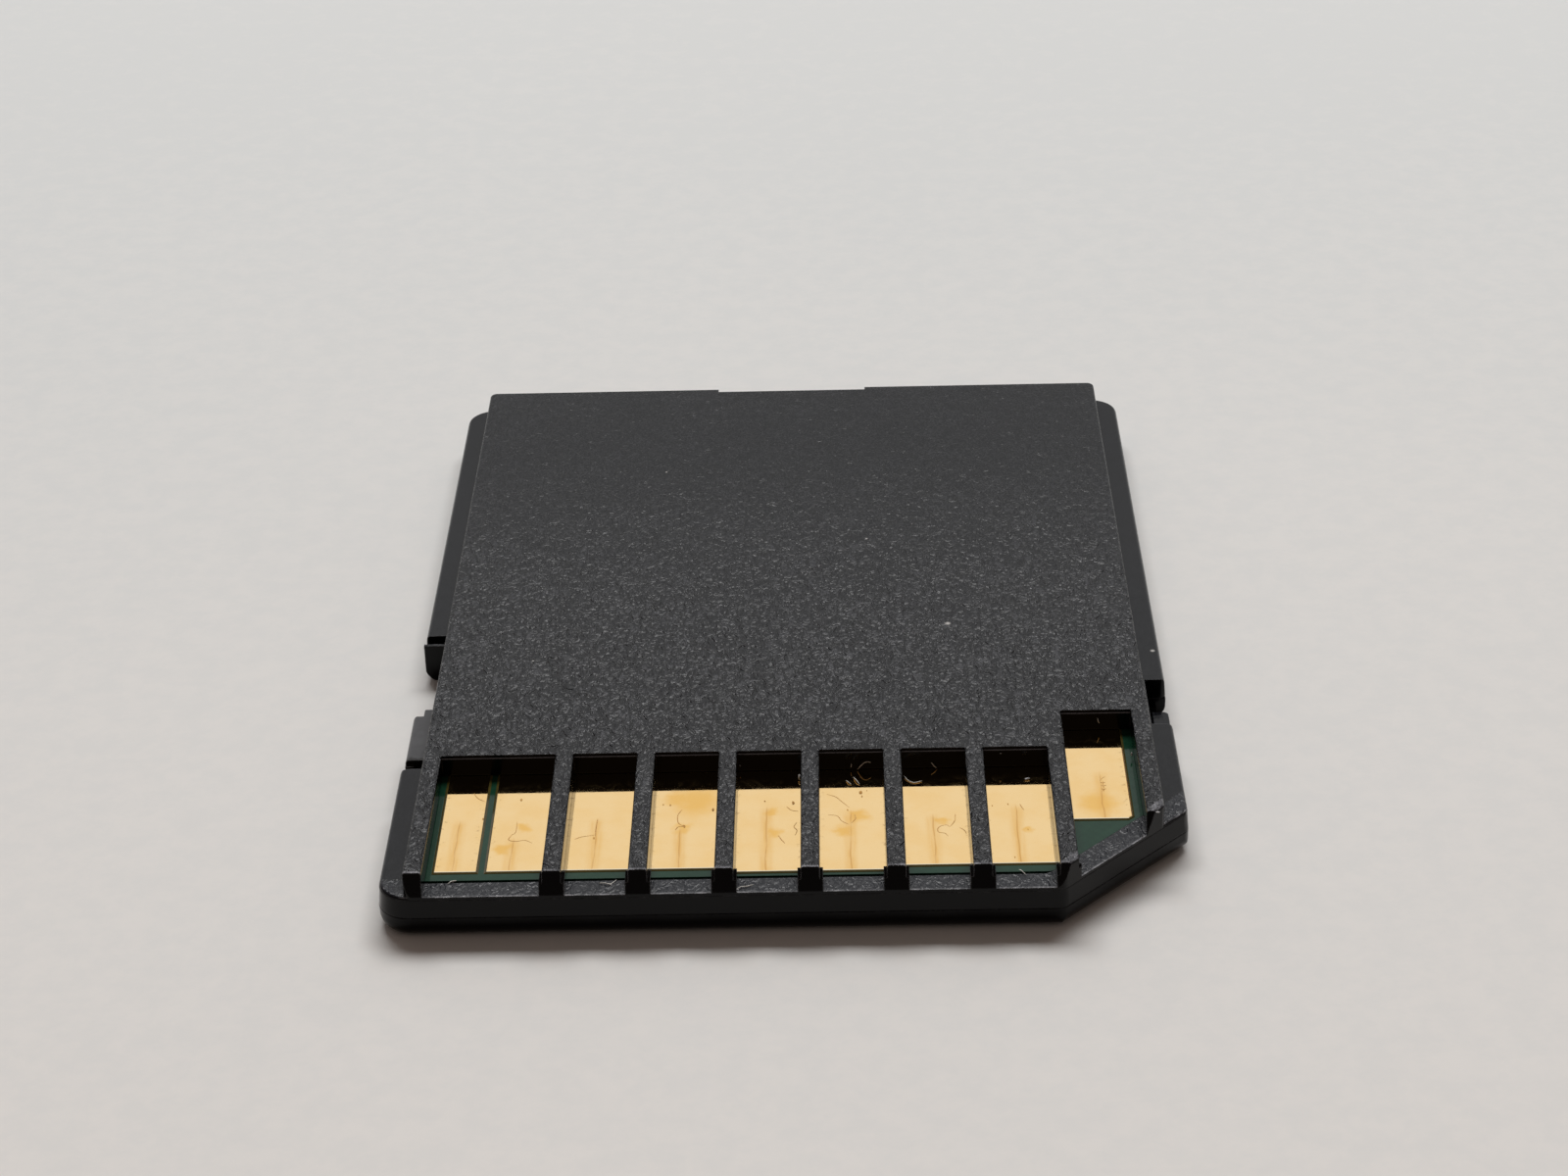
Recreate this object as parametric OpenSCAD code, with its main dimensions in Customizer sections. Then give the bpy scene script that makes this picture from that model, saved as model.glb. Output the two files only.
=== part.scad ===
// Full size memory card in two welded plastic covers, seen with its contact side up.
// It lies on its label side. X runs across the card, Y from the contact edge to the rear, Z up.
// The origin is the middle of the label side, on the plane that the card rests on.

/* [Card] */
// Width across the label side cover
card_w = 24; // [23:0.25:30]
// Length from the contact edge to the rear edge
card_l = 32; // [31:0.5:44]
// Radius of the three round corners
corner_r = 1; // [0.6:0.1:1.2]
// Leg of the cut corner
cut_leg = 4; // [3.5:0.25:4.25]
// Radius at the two ends of the cut corner
cut_end_r = 0.5; // [0.5:0.05:0.7]
// How far the walls of the contact side cover lean in, from the seam up to the rails
wall_lean = 0.06; // [0.02:0.01:0.1]
// Width of the fine groove along the seam
seam_groove = 0.03; // [0.01:0.01:0.05]

/* [Heights] */
// Height of the label side cover, up to the seam
label_rim_h = 0.7; // [0.66:0.02:0.8]
// Height of the rails and the front lip above the seam
contact_rim_h = 0.7; // [0.66:0.02:0.8]
// Rise of the middle above the rails
raise_h = 0.7; // [0.64:0.02:0.76]
// Depth of the contact plane below the raised face
contact_depth = 0.7; // [0.66:0.02:0.74]

/* [Covers] */
// Wall under the raised face
skin_t = 0.35; // [0.25:0.05:0.4]
// Wall over the label recess
floor_t = 0.25; // [0.2:0.01:0.26]
// Depth of the bare label recess
label_recess_d = 0.08; // [0.04:0.01:0.09]
// Border around the label recess
label_border = 1.2; // [1:0.1:2]
// Side wall, from the side of the card to the cavity
side_wall = 1.05; // [1:0.01:1.08]
// Rear wall, from the rear of the card to the cavity
rear_wall = 1.1; // [1:0.05:1.4]
// Width of each rail beside the raised middle
rail_w = 0.84; // [0.76:0.02:0.88]
// Width of the lip in front of the contacts
lip_w = 0.73; // [0.6:0.01:0.8]
// Width of the lip along the cut corner
cut_lip_w = 0.79; // [0.6:0.01:0.84]
// Radius along the lower edge of the label side cover
label_edge_r = 0.45; // [0.2:0.05:0.45]
// Radius along the upper edge of the rails and the lip
rail_edge_r = 0.1; // [0.04:0.02:0.14]
// Radius along the edges of the raised face
raise_edge_r = 0.08; // [0.04:0.01:0.1]
// Radius at the corners of the raised face
raise_corner_r = 0.25; // [0.2:0.05:0.35]
// How far the fronts of the ribs and the post lean back, up to the raised face
raise_lean = 0.25; // [0.1:0.01:0.3]
// Width of the thumb recess in the rear edge of the raised face
thumb_w = 5.4; // [4:0.2:8]
// Depth of the thumb recess
thumb_d = 0.25; // [0.1:0.05:0.4]
// Wall that stands on the board behind the contact windows
frame_wall = 0.45; // [0.3:0.05:0.6]
// Diameter of the locating pins between the covers
pin_d = 0.4; // [0.3:0.02:0.42]
// Height of the locating pins above the seam
pin_h = 0.3; // [0.2:0.05:0.4]

/* [Contacts] */
// Gap between neighbouring contacts of the main row
pad_gap = 0.45; // [0.4:0.01:0.54]
// Width of the narrow contact at the end of the row
end_pad_w = 1.23; // [1:0.01:1.3]
// Width of the contact beside it
next_pad_w = 1.78; // [1.6:0.01:1.8]
// Strip of green between these two
end_gap = 0.3; // [0.2:0.02:0.4]
// Thickness of the gold plating and its copper
pad_t = 0.03; // [0.02:0.01:0.05]
// Distance from the contact edge to the short contacts
pad_front = 1.35; // [1.3:0.01:1.5]
// Distance from the contact edge to the two long contacts
long_pad_front = 1.14; // [1.1:0.01:1.25]
// Width of the set back contact
back_pad_w = 1.88; // [1.6:0.01:1.92]
// Distance from the contact edge to the set back contact
back_pad_front = 3.64; // [3.5:0.02:4]
// Chamfer at the outer front corner of the set back contact
back_pad_chamfer = 0.14; // [0.05:0.01:0.3]
// How far each contact runs on under the wall behind its window
pad_under = 0.2; // [0.1:0.05:0.3]

/* [Windows] */
// Width of the strip of the raised face to the left of the windows
left_strip_w = 0.55; // [0.5:0.01:0.6]
// Width of the strip to the right of them
right_strip_w = 0.56; // [0.5:0.01:0.6]
// Width of the ribs between the windows
rib_w = 0.56; // [0.5:0.01:0.6]
// Width of the feet that the ribs stand on at the lip
rib_foot_w = 0.74; // [0.62:0.02:0.78]
// Height of these feet above the lip
rib_foot_h = 0.35; // [0.2:0.05:0.6]
// Distance from the contact edge to the far edge of the windows
window_l = 6.61; // [6:0.05:7]
// The same for the window of the set back contact
back_window_l = 8.66; // [8:0.05:9]
// Width of the window that two contacts share
double_window_w = 3.49; // [3.4:0.01:3.5]
// Width of the window of the set back contact
back_window_w = 2.16; // [2:0.01:2.18]
// Distance from the contact edge to the end of the post beside that window
post_front = 2.95; // [2.8:0.05:3.3]
// Height of the small step in the far wall of each window
window_step_h = 0.1; // [0.05:0.01:0.2]
// Depth of that step
window_step_d = 0.05; // [0.02:0.01:0.1]

/* [Board] */
// Thickness of the circuit board
board_t = 0.35; // [0.3:0.01:0.36]
// Distance from the contact edge to the front edge of the board
board_front = 0.96; // [0.9:0.01:1.05]
// Gap around the other edges of the board
board_gap = 0.1; // [0.05:0.01:0.15]
// Radius at the corners of the board
board_r = 0.3; // [0.1:0.05:0.5]
// Diameter of the posts that carry the board
post_d = 0.7; // [0.5:0.05:0.9]
// Clearance between pieces that lie on each other
fit_gap = 0.02; // [0.01:0.01:0.03]

/* [Write protect slide] */
// Distance from the contact edge to the near end of the slot
slot_front = 7.05; // [7:0.05:7.3]
// Distance from the contact edge to the far end of the slot
slot_rear = 15.2; // [15.1:0.05:16]
// How far the label side cover reaches into the far end of the slot
slot_ledge = 0.51; // [0.4:0.01:0.6]
// Thickness of the small wall on that ledge
ledge_wall_t = 0.12; // [0.1:0.01:0.2]
// Height of the small wall above the seam
ledge_wall_h = 0.62; // [0.4:0.02:0.64]
// Gap in front of the slider when it is unlocked
slider_front_gap = 0.53; // [0.4:0.01:0.6]
// Length of the slider's grip
slider_l = 2.6; // [2.2:0.05:2.7]
// Length of the narrow step behind the grip
slider_step_l = 0.4; // [0.3:0.05:0.5]
// How far the slider moves from unlocked to locked
slider_travel = 4; // [3:0.1:4]
// Running clearance of the slider
run_gap = 0.07; // [0.05:0.01:0.08]
// Thickness of the slider's tongue inside the card
tongue_t = 0.46; // [0.36:0.01:0.46]
// Reach of the tongue past the inner wall of the slot
tongue_w = 1.3; // [1:0.05:1.5]
// Radius of the bump on the tongue
bump_r = 0.25; // [0.2:0.01:0.3]
// Width of the guide wall that the tongue runs along
guide_w = 0.3; // [0.25:0.05:0.4]
// Radius of the slider's outer edges
slider_edge_r = 0.12; // [0.05:0.01:0.15]

/* [Side notch] */
// Distance from the contact edge to the near end of the notch
notch_front = 8.96; // [8.9:0.02:9.1]
// Distance from the contact edge to the far end of the notch
notch_rear = 11.63; // [11.5:0.02:12]
// Length of the notch in the label side cover
label_notch_l = 0.85; // [0.7:0.05:1]
// Depth of the notch in the label side cover
label_notch_d = 0.28; // [0.2:0.02:0.4]
// Depth of the notch, from the side of the card
notch_d = 0.7; // [0.6:0.02:0.74]
// Width of the pocket along the foot of the notch
notch_pocket_w = 0.2; // [0.1:0.02:0.28]
// Radius of the rail where it starts again
notch_r = 0.3; // [0.1:0.02:0.35]

/* [Memory package] */
// Width of the package body
flash_w = 12; // [10:0.5:13]
// Gap between the controller and the tips of the leads of the package
flash_gap = 1.7; // [0.5:0.1:3]
// Thickness of the package body
flash_t = 0.58; // [0.5:0.01:0.6]
// Leads on each end of the package
flash_leads_n = 24; // [16:2:24]
// Width of a lead
flash_lead_w = 0.2; // [0.15:0.01:0.25]
// Distance from the side of the body to the nearest lead
flash_lead_inset = 0.15; // [0.05:0.05:0.4]
// Reach of the leads past the body
flash_lead_l = 0.8; // [0.6:0.05:0.85]
// Distance from the rear edge of the board to the tips of the leads
flash_rear = 0.5; // [0.4:0.05:0.8]

/* [Controller] */
// Side of the controller body
control_w = 7; // [5:0.5:7]
// Thickness of the controller body
control_t = 0.55; // [0.4:0.01:0.57]
// Lands on each side of the controller
control_lands_n = 12; // [8:1:12]
// Width of a land
control_land_w = 0.25; // [0.15:0.01:0.28]
// Distance from the side of the body to the nearest land
control_land_inset = 0.625; // [0.5:0.025:0.8]
// Length of a land
control_land_l = 0.4; // [0.3:0.02:0.5]
// Distance from the contact edge to the controller
control_front = 4.6; // [4:0.1:5]
// Middle of the controller, across the card
control_x = -2.4; // [-3:0.1:-1]

/* [Small parts] */
// Length of a chip capacitor or resistor
chip_l = 1; // [0.8:0.05:1.1]
// Width of a chip capacitor or resistor
chip_w = 0.5; // [0.4:0.05:0.55]
// Thickness of a chip capacitor
capacitor_t = 0.5; // [0.3:0.05:0.55]
// Thickness of a chip resistor
resistor_t = 0.35; // [0.25:0.05:0.4]
// How far the metal ends of a chip stand proud of its body
chip_end_step = 0.03; // [0.02:0.01:0.05]
// Length of the metal ends of a chip
chip_end_l = 0.22; // [0.15:0.01:0.3]
// Distance between neighbouring chips
chip_pitch = 1.5; // [1.3:0.05:1.55]
// Distance from the side of the board to the middle of the block of resistors
resistor_inset = 2.45; // [2.3:0.05:2.8]
// Distance from there to the middle of the block of capacitors
block_pitch = 3; // [2.8:0.1:3.2]
// Distance from the contact edge to the first chip of each block
chip_front = 5.6; // [5.2:0.1:6]

/* [Hidden] */
$fn = 64;
over = 0.5;
mitre_turn = 60;
chips_n = 6;
single_n = 6;
root2 = sqrt(2);

// Main levels and half sizes
seam_z = label_rim_h;
rail_z = seam_z + contact_rim_h;
card_t = rail_z + raise_h;
contact_z = card_t - contact_depth;
half_w = card_w / 2;
half_l = card_l / 2;
front_y = -half_l;
cover_front_y = front_y + wall_lean;
raise_half_w = half_w - rail_w;
floor_z = label_recess_d + floor_t;
board_top_z = contact_z - pad_t;
board_low_z = board_top_z - board_t;
roof_z = contact_z + fit_gap;
ceiling_z = card_t - skin_t;
cut_sum = half_w + half_l - cut_leg;

// Cavity that the two covers share
cavity_half_w = half_w - side_wall;
cavity_front_y = cover_front_y + lip_w;
cavity_rear_y = half_l - rear_wall;
cavity_cut_sum = cut_sum - (wall_lean + cut_lip_w) * root2;
cavity_r = 0.4 * corner_r;

// Windows, from the shared one on the left to the set back one on the right.
// The single contacts share what is left between these two.
double_window_x = -raise_half_w + left_strip_w;
back_window_x = raise_half_w - right_strip_w - back_window_w;
first_rib_x = double_window_x + double_window_w + rib_w / 2;
last_rib_x = back_window_x - rib_w / 2;
pad_pitch = (last_rib_x - first_rib_x) / single_n;
window_rear_y = front_y + window_l;
back_window_rear_y = front_y + back_window_l;
post_y = front_y + post_front;

// Contacts
row_x = first_rib_x + pad_pitch / 2;
pad_w = pad_pitch - pad_gap;
pad_hide = (rib_w - pad_gap) / 2;
next_pad_x = first_rib_x - rib_w / 2 + pad_hide - next_pad_w;
end_pad_x = next_pad_x - end_gap - end_pad_w;
back_pad_x = back_window_x - pad_hide;
pad_rear_y = window_rear_y + pad_under;
back_pad_rear_y = back_window_rear_y + pad_under;

// Board
board_front_y = front_y + board_front;
board_rear_y = cavity_rear_y - board_gap;
board_half_w = cavity_half_w - board_gap;
board_cut_sum = cavity_cut_sum - board_gap / 2;
board_mid_y = (board_front_y + board_rear_y) / 2;
post_inset = post_d / 2 + board_gap;
left_post_share = [-0.85, 0.25, 0.88];
right_post_share = [-0.65, 0.1, 0.88];

// Write protect slide
slot_front_y = front_y + slot_front;
slot_rear_y = front_y + slot_rear;
slot_wall_x = -raise_half_w;
ledge_y = slot_rear_y - slot_ledge;
slider_y = slot_front_y + slider_front_gap;
slider_x = slot_wall_x - run_gap;
slider_out_x = -half_w + wall_lean + run_gap;
slider_low_z = 2 * run_gap;
slider_top_z = rail_z - fit_gap;
slider_inset = 0.1 * slider_l;
slider_step_w = (slider_x - slider_out_x) / 2;
slider_toe = slider_front_gap / 4;
slider_toe_h = 0.13 * (slider_top_z - slider_low_z);
tongue_z = floor_z + run_gap;
tongue_x = slot_wall_x + tongue_w;
tongue_l = slider_l - slider_inset;
bump_h = bump_r / 2;
guide_x = tongue_x + bump_h + run_gap / 2;
slot_roof_z = tongue_z + tongue_t + run_gap;
guide_end_gap = slider_front_gap;

// Side notch
notch_front_y = front_y + notch_front;
notch_rear_y = front_y + notch_rear;
label_notch_y = notch_rear_y - label_notch_l;
notch_x = half_w - notch_d;

// Packages on the lower side of the board
stand_off = fit_gap * 3.5;
package_top_z = board_low_z - stand_off;
control_mid_y = front_y + control_front + control_w / 2;
flash_front_y = control_mid_y + control_w / 2 + flash_gap + flash_lead_l;
flash_rear_y = board_rear_y - flash_rear - flash_lead_l;
flash_l = flash_rear_y - flash_front_y;
flash_mid_y = (flash_front_y + flash_rear_y) / 2;
flash_low_z = package_top_z - flash_t;
flash_lead_row = flash_w - 2 * flash_lead_inset - flash_lead_w;
control_land_row = control_w - 2 * control_land_inset - control_land_w;
resistor_x = board_half_w - resistor_inset;
capacitor_x = resistor_x - block_pitch;
lead_t = 0.6 * flash_lead_w;
mark_d = 0.08 * control_w;

// Convex outlines with round corners, whose points run counter-clockwise
function unit(v) = v / norm(v);
function side_dir(p, i) = unit(p[(i + 1) % len(p)] - p[i % len(p)]);
function side_angle(p, i) = atan2(side_dir(p, i)[1], side_dir(p, i)[0]);
function turn_at(p, i) = (side_angle(p, i) - side_angle(p, i + len(p) - 1) + 720) % 360;
function corner_in(p, r, i) = p[i] - side_dir(p, i + len(p) - 1) * r[i] * tan(turn_at(p, i) / 2);
function corner_out(p, r, i) = p[i] + side_dir(p, i) * r[i] * tan(turn_at(p, i) / 2);
function left_of(v) = [-v[1], v[0]];
function past_mitre(p, i) = turn_at(p, i) < mitre_turn ? over : 0;
function corner_mid(p, r, i) = corner_out(p, r, i) + left_of(side_dir(p, i)) * r[i];

// Corners of a card outline: plain sizes and where its cut corner runs
function cut_plate(x, y_front, y_rear, sum) = [
    [-x, y_front],
    [sum + y_front, y_front],
    [x, x - sum],
    [x, y_rear],
    [-x, y_rear]
];
function card_points(inset) = cut_plate(
    half_w - inset, front_y + inset, half_l - inset, cut_sum - inset * root2);
function card_radii(inset) = [
    for (r = [corner_r, cut_end_r, cut_end_r, corner_r, corner_r]) r - inset
];

module round_plate(p, r) {
    polygon([for (i = [0 : len(p) - 1]) for (q = [corner_in(p, r, i), corner_out(p, r, i)]) q]);
    for (i = [0 : len(p) - 1])
        translate(corner_mid(p, r, i))
            circle(r[i]);
}

// What lies outside a rounded edge whose sharp corner is at the origin
module edge_profile(e) {
    difference() {
        translate([-e, -e])
            square(e + over);
        translate([-e, -e])
            circle(e);
    }
}

// A plate whose walls lean in by lean over its height, with cones at its corners
module leaning_plate(p, r, h, lean) {
    depth = min(r) / 2;
    for (i = [0 : len(p) - 1]) {
        j = (i + 1) % len(p);
        start = corner_out(p, r, i);
        length = norm(corner_in(p, r, j) - start);
        translate(corner_mid(p, r, i))
            cylinder(h = h, r1 = r[i], r2 = r[i] - lean);
        translate(start)
            rotate([0, 0, side_angle(p, i) - 90])
                translate([0, length, 0])
                    rotate([90, 0, 0])
                        linear_extrude(length)
                            polygon([[-2 * depth, 0], [0, 0], [-lean, h], [-2 * depth, h]]);
    }
    linear_extrude(h)
        polygon([
            for (i = [0 : len(p) - 1])
                for (q = [
                    corner_in(p, r, i) + left_of(side_dir(p, i + len(p) - 1)) * depth,
                    corner_mid(p, r, i),
                    corner_out(p, r, i) + left_of(side_dir(p, i)) * depth
                ]) q
        ]);
}

// Rounds the upper edge of an outline, at the height where this is placed.
// The flat stretches run past a corner that turns little, and meet there in a mitre.
module round_rim(p, r, e) {
    for (i = [0 : len(p) - 1]) {
        j = (i + 1) % len(p);
        length = norm(corner_in(p, r, j) - corner_out(p, r, i));
        translate(corner_out(p, r, i))
            rotate([0, 0, side_angle(p, i) - 90])
                translate([0, length + past_mitre(p, j), 0])
                    rotate([90, 0, 0])
                        linear_extrude(length + past_mitre(p, i) + past_mitre(p, j))
                            edge_profile(e);
        if (past_mitre(p, i) == 0)
            translate(corner_mid(p, r, i))
                rotate([0, 0, side_angle(p, i + len(p) - 1) - 90])
                    rotate_extrude(angle = turn_at(p, i))
                        translate([r[i], 0])
                            edge_profile(e);
    }
}

// Rounds one upper edge that runs along Y, with the solid on its left
module round_edge_y(e, y_front, y_rear) {
    translate([0, y_rear, 0])
        rotate([90, 0, 0])
            linear_extrude(y_rear - y_front)
                edge_profile(e);
}

module block(low, high) {
    translate(low)
        cube(high - low);
}

module cavity_outline() {
    p = cut_plate(cavity_half_w, cavity_front_y, cavity_rear_y, cavity_cut_sum);
    round_plate(p, [for (i = p) cavity_r]);
}

module pin_places() {
    pin_x = half_w - side_wall / 2;
    pin_rear = half_l - 2 * rear_wall;
    for (place = [
        [-pin_x, front_y + 2 * corner_r],
        [pin_x, front_y + cut_leg + 2 * cut_end_r],
        [-pin_x, pin_rear],
        [pin_x, pin_rear]
    ])
        translate(place)
            children();
}

// A window in the raised face, seen along Y, with rounded upper edges
module window_cut(x, w, y_rear) {
    round_w = w / 2;
    length = y_rear - cover_front_y + over;
    translate([x + round_w, y_rear, 0]) {
        rotate([90, 0, 0])
            linear_extrude(length)
                difference() {
                    translate([-round_w - raise_edge_r, rail_z])
                        square([w + 2 * raise_edge_r, raise_h + over]);
                    for (s = [-1, 1])
                        translate([s * (round_w + raise_edge_r), 0]) {
                            translate([0, card_t - raise_edge_r])
                                circle(raise_edge_r);
                            translate([-raise_edge_r, 0])
                                square([2 * raise_edge_r, card_t - raise_edge_r]);
                        }
                }
        translate([-round_w, -over, card_t - window_step_h])
            cube([w, over + window_step_d, window_step_h + over]);
    }
    intersection() {
        block([x, front_y, seam_z], [x + w, y_rear, rail_z + over]);
        translate([0, 0, seam_z])
            linear_extrude(card_t)
                cavity_outline();
    }
}

module slot_cut_outline() {
    length = slot_rear_y - slot_front_y;
    translate([-half_w - over, slot_front_y])
        square([slot_wall_x + half_w + over, length]);
    translate([-half_w, slot_front_y])
        mirror([1, 0])
            corner_relief(notch_r);
}

// What lies outside a round corner of a wall, with the wall at lower X and lower Y
module corner_relief(r) {
    difference() {
        translate([-r, -r])
            square(2 * r);
        translate([-r, -r])
            circle(r);
    }
}

module contact_side_cover() {
    p = card_points(wall_lean);
    r = card_radii(wall_lean);
    color([0.235, 0.235, 0.25])
        difference() {
            union() {
                difference() {
                    translate([0, 0, seam_z])
                        leaning_plate(card_points(0), card_radii(0), contact_rim_h, wall_lean);
                    translate([0, 0, rail_z])
                        round_rim(p, r, rail_edge_r);
                    translate([0, 0, seam_z])
                        mirror([0, 0, 1])
                            round_rim(card_points(0), card_radii(0), seam_groove);
                }
                raised_middle();
            }
            contact_cover_cavity();
            contact_windows();
            contact_cover_slot();
            contact_cover_notch();
            translate([0, 0, seam_z - over])
                pin_places()
                    cylinder(h = pin_h + over + fit_gap, d = pin_d + 2 * fit_gap);
        }
}

module raised_middle() {
    p = cut_plate(raise_half_w, cover_front_y, half_l - wall_lean, cut_sum - wall_lean * root2);
    r = [for (i = [0 : 4]) i == 1 ? cut_end_r - wall_lean : raise_corner_r];
    difference() {
        translate([0, 0, seam_z])
            linear_extrude(card_t - seam_z)
                round_plate(p, r);
        translate([0, 0, card_t])
            round_rim(p, r, raise_edge_r);
        block([-thumb_w / 2, half_l - wall_lean - thumb_d, rail_z],
              [thumb_w / 2, half_l + over, card_t + over]);
    }
}

// The roof over the board, with ribs that hold the board down
module contact_cover_cavity() {
    upper_half_w = cavity_half_w - frame_wall;
    upper_front_y = window_rear_y + frame_wall;
    back_front_y = back_window_rear_y + frame_wall;
    rib_x = upper_half_w / 3;
    translate([0, 0, seam_z - over])
        linear_extrude(roof_z - seam_z + over)
            cavity_outline();
    difference() {
        block([-upper_half_w, upper_front_y, seam_z],
              [upper_half_w, cavity_rear_y - cavity_r, ceiling_z]);
        block([back_window_x - frame_wall, front_y, seam_z],
              [half_w, back_front_y, card_t]);
        for (s = [-1, 1])
            block([s * rib_x - rib_w / 2, back_front_y + frame_wall, board_top_z + fit_gap],
                  [s * rib_x + rib_w / 2, cavity_rear_y - corner_r, card_t]);
    }
}

module contact_windows() {
    difference() {
        union() {
            window_cut(double_window_x, double_window_w, window_rear_y);
            for (i = [0 : single_n - 1])
                window_cut(first_rib_x + rib_w / 2 + i * pad_pitch, pad_pitch - rib_w, window_rear_y);
            window_cut(back_window_x, back_window_w, back_window_rear_y);
        }
        for (i = [0 : single_n])
            translate([first_rib_x + i * pad_pitch, 0, 0])
                block([-rib_foot_w / 2, front_y - over, seam_z],
                      [rib_foot_w / 2, cavity_front_y, rail_z + rib_foot_h]);
    }
    leaning_front(-half_w, half_w, cover_front_y);
    leaning_front(back_window_x + back_window_w - raise_edge_r, half_w, post_y - raise_lean);
}

// What lies in front of a wall of the raised middle that leans back from its foot at y
module leaning_front(x_low, x_high, y) {
    translate([x_low, 0, 0])
        rotate([90, 0, 90])
            linear_extrude(x_high - x_low)
                polygon([
                    [y, rail_z],
                    [y + raise_lean, card_t],
                    [y + raise_lean, card_t + over],
                    [front_y - over, card_t + over],
                    [front_y - over, rail_z]
                ]);
}

module contact_cover_slot() {
    translate([0, 0, seam_z - over])
        linear_extrude(contact_rim_h + 2 * over)
            slot_cut_outline();
    block([slot_wall_x - over, slot_front_y, seam_z - over],
          [-cavity_half_w + over, slot_rear_y, slot_roof_z]);
}

module contact_cover_notch() {
    translate([0, 0, seam_z - over])
        linear_extrude(contact_rim_h + 2 * over) {
            translate([notch_x, notch_front_y])
                square([notch_d + over, notch_rear_y - notch_front_y]);
            translate([half_w, notch_front_y])
                corner_relief(notch_r);
            translate([half_w, notch_rear_y])
                mirror([0, 1])
                    corner_relief(notch_r / 2);
        }
}

module label_side_cover() {
    p = card_points(0);
    r = card_radii(0);
    color([0.215, 0.215, 0.23]) {
        difference() {
            linear_extrude(seam_z)
                round_plate(p, r);
            mirror([0, 0, 1])
                round_rim(p, r, label_edge_r);
            translate([0, 0, floor_z])
                linear_extrude(seam_z)
                    cavity_outline();
            label_recess();
            label_cover_slot();
            label_cover_notch();
        }
        board_posts();
        slide_guide();
        block([-half_w, ledge_y, floor_z],
              [slot_wall_x, ledge_y + ledge_wall_t, seam_z + ledge_wall_h]);
        translate([0, 0, floor_z])
            pin_places()
                cylinder(h = seam_z + pin_h - floor_z, d = pin_d);
    }
}

module label_recess() {
    border = label_border;
    p = cut_plate(half_w - border, front_y + border, half_l - border, cut_sum - border * root2);
    translate([0, 0, -over])
        linear_extrude(over + label_recess_d)
            round_plate(p, [for (i = p) cut_end_r]);
}

module label_cover_slot() {
    block([-half_w - over, slot_front_y, -over],
          [slot_wall_x, ledge_y, seam_z + over]);
    block([slot_wall_x - over, slot_front_y, floor_z],
          [-cavity_half_w + over, ledge_y, seam_z + over]);
}

// A pocket over the floor, which turns outwards into the notch that goes through
module label_cover_notch() {
    pocket_x = notch_x + notch_pocket_w;
    through_x = half_w - label_notch_d;
    translate([0, 0, floor_z])
        linear_extrude(seam_z)
            polygon([
                [notch_x, notch_front_y],
                [pocket_x, notch_front_y],
                [pocket_x, label_notch_y],
                [half_w + over, label_notch_y],
                [half_w + over, notch_rear_y],
                [notch_x, notch_rear_y]
            ]);
    block([through_x, label_notch_y, -over], [half_w + over, notch_rear_y, 2 * floor_z]);
    translate([half_w, label_notch_y, -over])
        linear_extrude(seam_z + 2 * over)
            corner_relief(notch_r / 2);
}

// Posts that carry the board at its edges
module board_posts() {
    half = (board_rear_y - board_front_y) / 2;
    for (s = [-1, 1])
        for (share = s < 0 ? left_post_share : right_post_share)
            translate([s * (board_half_w - post_inset), board_mid_y + share * half, floor_z / 2])
                cylinder(h = board_low_z - floor_z / 2, d = post_d);
}

// Wall that the slider's tongue runs along, with a groove for its bump at each end
module slide_guide() {
    difference() {
        block([guide_x, slot_front_y - guide_end_gap, floor_z / 2],
              [guide_x + guide_w, slot_rear_y, board_low_z]);
        for (y = [0, slider_travel])
            translate([tongue_x + bump_h - bump_r, slider_y + tongue_l / 2 + y, floor_z])
                cylinder(h = board_low_z, r = bump_r + run_gap);
    }
}

module write_protect_slider() {
    grip_h = slider_top_z - slider_low_z;
    tongue_y = slider_y + slider_inset;
    color([0.37, 0.38, 0.38]) {
        difference() {
            union() {
                block([slider_out_x, slider_y, slider_low_z],
                      [slider_x, slider_y + slider_l, slider_top_z]);
                block([slider_x - slider_step_w, slider_y, slider_low_z],
                      [slider_x, slider_y + slider_l + slider_step_l, slider_top_z]);
            }
            slider_rounding(grip_h);
        }
        block([slider_out_x, slider_y - slider_toe, slider_low_z],
              [slider_out_x + 2 * slider_toe, slider_y, slider_top_z - slider_toe_h]);
        block([slider_x, tongue_y, tongue_z],
              [tongue_x, tongue_y + tongue_l - slider_inset, tongue_z + tongue_t]);
        slider_bump();
    }
}

module slider_rounding(grip_h) {
    mirror([1, 0, 0])
        translate([-slider_out_x, 0, slider_top_z])
            round_edge_y(slider_edge_r, slider_y - over, slider_y + slider_l + over);
    mirror([1, 0, 0])
        mirror([0, 0, 1])
            translate([-slider_out_x, 0, -slider_low_z])
                round_edge_y(slider_edge_r, slider_y - over, slider_y + slider_l + over);
    translate([slider_out_x, slider_y + slider_l, slider_low_z - over])
        linear_extrude(grip_h + 2 * over)
            mirror([1, 0])
                corner_relief(slider_edge_r);
    translate([slider_x - slider_step_w, slider_y + slider_l + slider_step_l, slider_low_z - over])
        linear_extrude(grip_h + 2 * over)
            mirror([1, 0])
                corner_relief(slider_edge_r / 2);
}

// The bump that snaps into the grooves of the guide
module slider_bump() {
    translate([tongue_x + bump_h - bump_r, slider_y + tongue_l / 2, tongue_z])
        cylinder(h = tongue_t, r = bump_r);
}

module circuit_board() {
    p = cut_plate(board_half_w, board_front_y, board_rear_y, board_cut_sum);
    color([0.2, 0.29, 0.25])
        translate([0, 0, board_low_z])
            linear_extrude(board_t)
                round_plate(p, [for (i = p) board_r]);
}

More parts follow.
